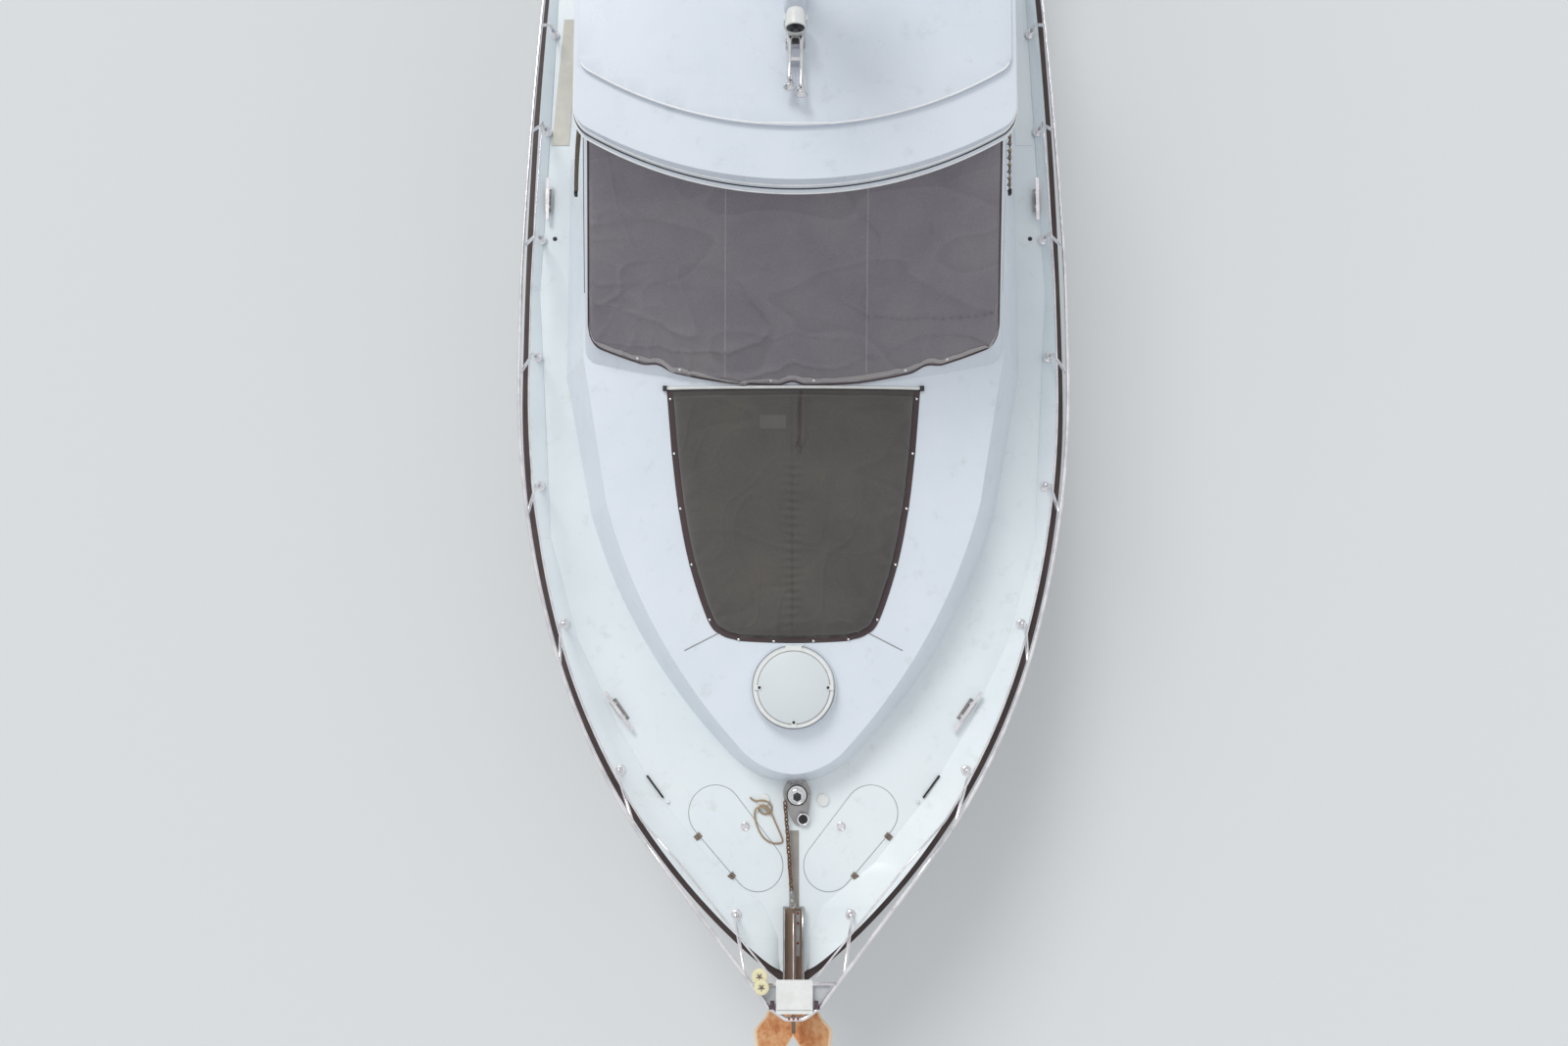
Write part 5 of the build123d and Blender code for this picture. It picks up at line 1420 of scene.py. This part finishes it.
def roofLine(grow, height, count=80):  # front half of the hardtop's edge, from starboard to port
    e = roofEdge
    sag = e["front"] - e["corner"]
    radius = (e["side"] ** 2 + sag ** 2) / (2 * sag)
    centre = e["front"] - radius
    r = e["round"]
    inner, edge, aside = radius - r, e["side"] - r, grow * e["sideGrowth"]
    turnX = centre + math.sqrt(inner ** 2 - edge ** 2)
    sweep = math.asin(edge / inner)
    points = [(x, -e["side"] - aside) for x in (-1.2, -0.4, turnX - 0.15)]
    for a in stations(-math.pi / 2, -sweep, 12):
        points.append((turnX + (r + grow) * math.cos(a), -edge + (r + aside) * math.sin(a)))
    for a in stations(-sweep, sweep, count)[1:-1]:
        points.append((centre + (radius + grow) * math.cos(a), (radius + aside) * math.sin(a)))
    points += [(x, -y) for x, y in reversed(points[:16])]
    return [(x, y, height - e["camber"] * y * y) for x, y in points]


def addRoofLip():
    strip("roofLip", [roofLine(grow, z) for grow, z in roofEdge["profile"]], "roof")
    # lines of painted highlight and painted shade along the lip
    for k, (grow, z, radius, finish) in enumerate(roofEdge["highlightAndShadeLines"]):
        tube(f"roofBead{k}", roofLine(grow, z), radius, finish, 10, slot="steel")
    tree = treeOf("roof_panel")
    high = roofEdge["panelHeight"]
    line = []
    for y in stations(-1.34, 1.34, 120):
        hit = tree.ray_cast(Vector((2, y, crownZ("roof", 0.8, y, high - 0.004))), Vector((-1, 0, 0)))[0]
        if hit:
            line.append((hit.x - 0.004, y, crownZ("roof", hit.x, y, high - 0.002)))
    # a bright line along the raised panel's front edge: painted highlight
    tube("panelRidgeHighlight", line, 0.0055, "brightPlastic", 10)


def addTrunkCreaseShading():
    parts = []
    for side in (-1, 1):
        # grey lines along the two moulded creases: painted shade in the grooves
        line = [onTrunk(4.171 - 0.134 * t, side * (0.805 - 0.264 * t), 0.0005) for t in stations(0, 1, 12)]
        parts.append(tube("crease", line, 0.004, "greySeal", 8, slot="steel"))
    joined("trunkCreaseShading", parts)


strapLines = (  # name, side, top, run to its foot, bow, steps, turns, flat width
    ("strap0", -1, (0.6, 1.44, 2.95), (0.16, 0.15, -0.66), 0.006, 16, 0, 0.036),
    ("strap1", -1, (0.66, 1.44, 2.95), (0.17, 0.15, -0.66), 0.006, 16, 0, 0.036),
    ("strapTwisted", 1, (0.62, 1.44, 2.95), (0.2, 0.14, -0.68), 0.0, 48, 5, 0.037),
)
strapHalf = (0.0099, 0.01503)
buckles = {"places": ((0.765, -1.594), (0.835, -1.594), (0.825, 1.584)), "height": 2.285,
           "size": (0.04, 0.02, 0.04), "eye": (0.82, 1.96), "eyeRadius": 0.018}


def addStraps():
    for name, side, (x, y, z), (dx, dy, dz), bow, steps, turns, wide in strapLines:
        line = [Vector((x + dx * t, side * (y + dy * t + bow * math.sin(3 * t)), z + dz * t))
                for t in stations(0, 1, steps)]
        rows = []
        for i, p in enumerate(line):
            a, b = line[max(0, i - 1)], line[min(steps, i + 1)]
            spin = Matrix.Rotation(2 * math.pi * turns * i / steps, 3, b - a)
            half = spin @ Vector((strapHalf[0], side * strapHalf[1], 0))
            rows.append([p - half, p, p + half])
        strip(name, rows, "strapWebbing")
    parts = [block((x, y, buckles["height"]), buckles["size"], "darkPlastic") for x, y in buckles["places"]]
    x, eyeY = buckles["eye"]
    for y in (-eyeY, eyeY):
        parts.append(dome("eye", (x, y, landing(x, y) - 0.001), buckles["eyeRadius"], "darkPlastic"))
    joined("strapBuckles", parts)


addRoofLip()
addTrunkCreaseShading()
addStraps()
print("lip, creases and straps made")


# windows: gaskets, hull lights, vents

paneRows = {"low": 2.16, "high": 2.98, "panes": ((-2.3, -1.25, 0), (-1.19, -0.14, 0), (-0.08, 1.56, 0.956))}
hullLights = {"places": ((-0.4, 0.93, 0.62), (1.3, 0.98, 0.62), (2.9, 1.07, 0.62), (4.3, 1.2, 0.3)),
              "tall": 0.17, "rise": 0.06, "out": 0.004, "columns": 24, "rows": 6}
hullTree = treeOf("hull")


def cabinSide(z):
    return screenCover["halfWidth"] - screenCover["tumblehome"] * (z - screenCover["base"])


def onHull(x, side, z):
    hit = hullTree.ray_cast(Vector((x, side * 4, z)), Vector((0, -side, 0)))[0]
    return Vector((x, hit.y + side * hullLights["out"], z))


def addGaskets():
    low, high = paneRows["low"], paneRows["high"]
    for side, name in boatSides:
        parts = []
        for aft, front, lean in paneRows["panes"]:
            corners = ((aft, low), (front, low), (front - lean * (high - low), high), (aft, high))
            line = []
            for a, b in zip(corners, corners[1:] + corners[:1]):
                for t in (0.02, 0.5, 0.98):
                    x, z = a[0] + (b[0] - a[0]) * t, a[1] + (b[1] - a[1]) * t
                    line.append((x, side * (cabinSide(z) + 0.001), z))
            parts.append(tube("gasket", line, 0.009, "blackRubber", 8, closed=True, slot="black_rubber"))
        joined(f"windowGaskets_{name}", parts)


def addHullLights():  # dark panes in the topsides, each laid on the hull's own surface
    h = hullLights
    radius = h["tall"] / 2
    panes, rims = [], []
    for side in (-1, 1):
        for x0, z0, long in h["places"]:
            grid = []
            for v in stations(-1, 1, h["rows"]):
                reach = long / 2 - radius + math.sqrt(max(0.0, radius ** 2 - (v * radius) ** 2))
                grid.append([onHull(x0 + u * reach, side, z0 + v * radius + h["rise"] * u * reach)
                             for u in stations(-1, 1, h["columns"])])
            panes.append(strip("pane", grid if side > 0 else grid[::-1], "darkGlass"))
            edge = [grid[j][i] for j, i in rimOf(h["columns"], h["rows"])]
            rims.append(tube("rim", edge, 0.008, "steel", 8, closed=True))
    joined("hullPanes", panes)
    joined("hullPaneRims", rims)


vents = {"slat": (-4.1, -3.9, -3.7, -3.5), "low": 0.78, "pitch": 0.035, "slats": 5, "radius": 0.009}
exhausts = {"places": ((-6.0, -1.25, 0.12), (-6.0, 1.25, 0.12)), "dark": ((0.05, 0.004), (0, 0.004)),
            "rim": ((0.05, 0.0), (0.05, 0.02), (0.062, 0.026), (0.07, 0.01), (0.07, 0.0))}


def addVents():
    lines = [[onHull(x, side, vents["low"] + vents["pitch"] * k) for x in vents["slat"]]
             for side in (-1, 1) for k in range(vents["slats"])]
    joined("engineVents", [tube("slat", line, vents["radius"], "darkPlastic", 8) for line in lines])
    astern = (-1, 0, 0)
    pipes = []
    for spot in exhausts["places"]:
        pipes.append(lathe("rim", exhausts["rim"], spot, "steel", astern))
        pipes.append(lathe("dark", exhausts["dark"], spot, "blackRubber", astern))
    joined("exhausts", pipes)


addGaskets()
addHullLights()
addVents()
print("windows and vents made")


# cockpit, platform and helm

bench = {"columns": 96, "rows": 32, "cells": 3, "base": 0.055, "puff": 0.04, "piping": 0.005}


def addCushion():
    low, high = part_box("cockpit_cushion")
    long, deep = high.y - low.y, high.x - low.x
    shape = bmesh.new()
    grid = []
    for v in stations(0, 1, bench["rows"]):
        row = []
        for u in stations(0, 1, bench["columns"]):
            x, y = low.x + deep * v, low.y + long * u
            cell = (u * bench["cells"]) % 1.0
            near = min(cell, 1 - cell) / bench["cells"] * long
            puff = min(1.0, near / 0.05) ** 0.5 * min(1.0, min(v, 1 - v) * deep / 0.06) ** 0.5
            row.append((x, y, low.z + bench["base"] + bench["puff"] * puff
                        + 0.002 * noiseAt(x * 6, y * 6, 0)))
        grid.append([shape.verts.new(p) for p in row])
    fillGrid(shape, grid)
    rim = [grid[j][i] for j, i in rimOf(bench["columns"], bench["rows"])]
    floor = [shape.verts.new((v.co.x, v.co.y, low.z + 0.001)) for v in rim]
    wall(shape, rim, floor)
    shape.faces.new(floor)
    cushion = addShape("benchCushion", shape, "vinyl")
    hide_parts("cockpit_cushion")
    x0, x1, y0, y1 = low.x + 0.004, high.x - 0.004, low.y + 0.004, high.y - 0.004
    edge = [(x, y, low.z + 0.056) for x, y in ((x0, y0), (x1, y0), (x1, y1), (x0, y1))]
    tube("benchPiping", edge, bench["piping"], "hemCanvas", 8, closed=True, slot="seat_vinyl")


helm = {"wheel": (1.075, -0.75, 1.93), "axis": (-0.82, 0, 0.57), "out": 0.06, "radius": 0.17,
        "dials": ((-1.0, 0.045), (-0.88, 0.055), (-0.75, 0.055), (-0.62, 0.055), (-0.5, 0.045)),
        "dialAt": (1.178, 1.958), "dialAxis": (-0.8, 0, 0.6), "wheelRod": 0.013, "spoke": (0.165, 0.008),
        "shaft": (-0.07, 0.012, 0.024)}


def addHelm():
    axis = Vector(helm["axis"]).normalized()
    flat = Vector((0, 1, 0))
    up = axis.cross(flat).normalized()
    centre = Vector(helm["wheel"]) + axis * helm["out"]

    def around(radius, angle):
        return centre + radius * (math.cos(angle) * flat + math.sin(angle) * up)
    ring = [around(helm["radius"], 2 * math.pi * k / 40) for k in range(40)]
    parts = [tube("rim", ring, helm["wheelRod"], "blackRubber", 10, closed=True)]
    reach, rod = helm["spoke"]
    for k in range(3):
        parts.append(tube("spoke", [centre, around(reach, math.pi / 2 + 2 * math.pi * k / 3)], rod, "steel",
                          8))
    back, front, rod = helm["shaft"]
    parts.append(tube("shaft", [centre + axis * back, centre + axis * front], rod, "steel", 16))
    joined("helmWheel", parts)
    x, z = helm["dialAt"]
    dials = []
    for y, r in helm["dials"]:
        profile = ((r, 0), (r, 0.006), (r - 0.006, 0.008), (0, 0.006))
        dials.append(lathe("dial", profile, (x, y, z), "darkGlass", helm["dialAxis"], 24,
                           slot="dark_plastic"))
    joined("helmDials", dials)


aftParts = {
    "plank": (0.66, 0.3, 0.006), "plankX": -6.42, "plankY": 1.36,
    "plate": (-5.948, -0.69, 1.02), "plateSize": (0.02, 0.06, 0.04),
    "knob": ((-5.955, -0.69, 1.02), (-5.92, -0.69, 1.02)), "knobRadius": 0.012,
    "handle": ((-2.648, -0.3, 1.75), (-2.69, -0.3, 1.77), (-2.69, -0.3, 2.03), (-2.648, -0.3, 2.05)),
    "ring": (-4.62, 0, 0.659), "ringRadius": 0.035,
    "tabs": ((-6.13, -1.05, -0.2), (-6.13, 1.05, -0.2)), "tabSize": (0.26, 0.5, 0.012),
    "light": (0.55, 3.1), "lightBox": (0.09, 0.03, 0.06), "lightPane": (0.05, 0.02, 0.04),
}


def addAftDetails():
    a = aftParts
    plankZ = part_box("swim_platform")[1].z + a["plank"][2] / 2
    joined("platformTeak", [block((a["plankX"], y, plankZ), a["plank"], "platformTeak")
                            for y in stations(-a["plankY"], a["plankY"], 8)])
    joined("gateFittings", [block(a["plate"], a["plateSize"], "steel", body="transom_gate"),
                            tube("knob", a["knob"], a["knobRadius"], "chrome", body="transom_gate")])
    tube("doorHandle", smoothLine(a["handle"], 6), 0.009, "chrome", body="saloon_door")
    ring = [Vector(a["ring"]) + turned(15 * k) @ Vector((a["ringRadius"], 0, 0)) for k in range(24)]
    tube("hatchRing", ring, 0.004, "chrome", 8, closed=True, body="engine_hatch")
    joined("trimTabs", [block(spot, a["tabSize"], "steel") for spot in a["tabs"]])
    x, z = a["light"]
    lights = []
    for side, colour in ((1, "redPlastic"), (-1, "greenPlastic")):
        y = side * (cabinSide(z) + 0.012)
        lights.append(block((x, y, z), a["lightBox"], "darkPlastic"))
        lights.append(block((x + 0.02, y + side * 0.012, z), a["lightPane"], colour))
    joined("sideLights", lights)


addCushion()
addHelm()
addAftDetails()
print("cockpit, helm and stern fittings made")


# camera, light and floor

photoView = {"place": (3.906, -0.07, 9.7), "lean": math.radians(5.0), "focus": 1066.7, "wide": 1600,
             "sensor": 36}
daylight = {
    "sun": 1.25, "softness": math.radians(22), "colour": (1.0, 0.985, 0.96), "towards": (0.9, 0.42, -0.95),
    "sky": ((0.0, (0.62, 0.625, 0.63, 1)), (0.35, (0.7, 0.705, 0.715, 1)), (1.0, (0.8, 0.815, 0.84, 1))),
}
floorPlan = {"colour": (214, 217, 218), "half": 45}


def addToScene(name, data):
    thing = bpy.data.objects.new(name, data)
    bpy.context.scene.collection.objects.link(thing)
    return thing


def addCamera():
    v = photoView
    right = Vector((0, 1, 0))
    up = Vector((-math.cos(v["lean"]), 0, math.sin(v["lean"])))
    eye = bpy.data.cameras.new("photoCamera")
    eye.sensor_width = v["sensor"]
    eye.lens = v["sensor"] * v["focus"] / v["wide"]
    eye.clip_end = 300
    camera = addToScene("photoCamera", eye)
    turn = Matrix((right, up, right.cross(up))).transposed().to_4x4()
    camera.matrix_world = Matrix.Translation(v["place"]) @ turn
    bpy.context.scene.camera = camera


def addFloor():
    half = floorPlan["half"]
    mesh = bpy.data.meshes.new("waterFloor")
    corners = [(-half, -half, 0), (half, -half, 0), (half, half, 0), (-half, half, 0)]
    mesh.from_pydata(corners, [], [(0, 1, 2, 3)])
    mesh.materials.append(newFinish("floorPaint", floorPlan["colour"], 0.9)[0])
    addToScene("waterFloor", mesh)


def addLight():
    d = daylight
    sun = bpy.data.lights.new("softSun", "SUN")
    sun.energy = d["sun"]
    sun.angle = d["softness"]
    sun.color = d["colour"]
    addToScene("softSun", sun).rotation_euler = Vector(d["towards"]).to_track_quat("-Z", "Y").to_euler()
    world = bpy.data.worlds.new("studio")
    bpy.context.scene.world = world
    world.use_nodes = True
    tree = world.node_tree
    spot = tree.nodes.new("ShaderNodeTexCoord").outputs["Generated"]
    height = addNode(tree, "SeparateXYZ", Vector=spot).outputs["Z"]
    sky = tree.nodes["Background"]
    tree.links.new(ramp(tree, spread(tree, height, 0, 1, -0.2, 1.0), d["sky"]), sky.inputs["Color"])
    sky.inputs["Strength"].default_value = 1.0


addCamera()
addFloor()
addLight()
bpy.context.scene.view_settings.view_transform = "Standard"
print("camera, light and floor set")
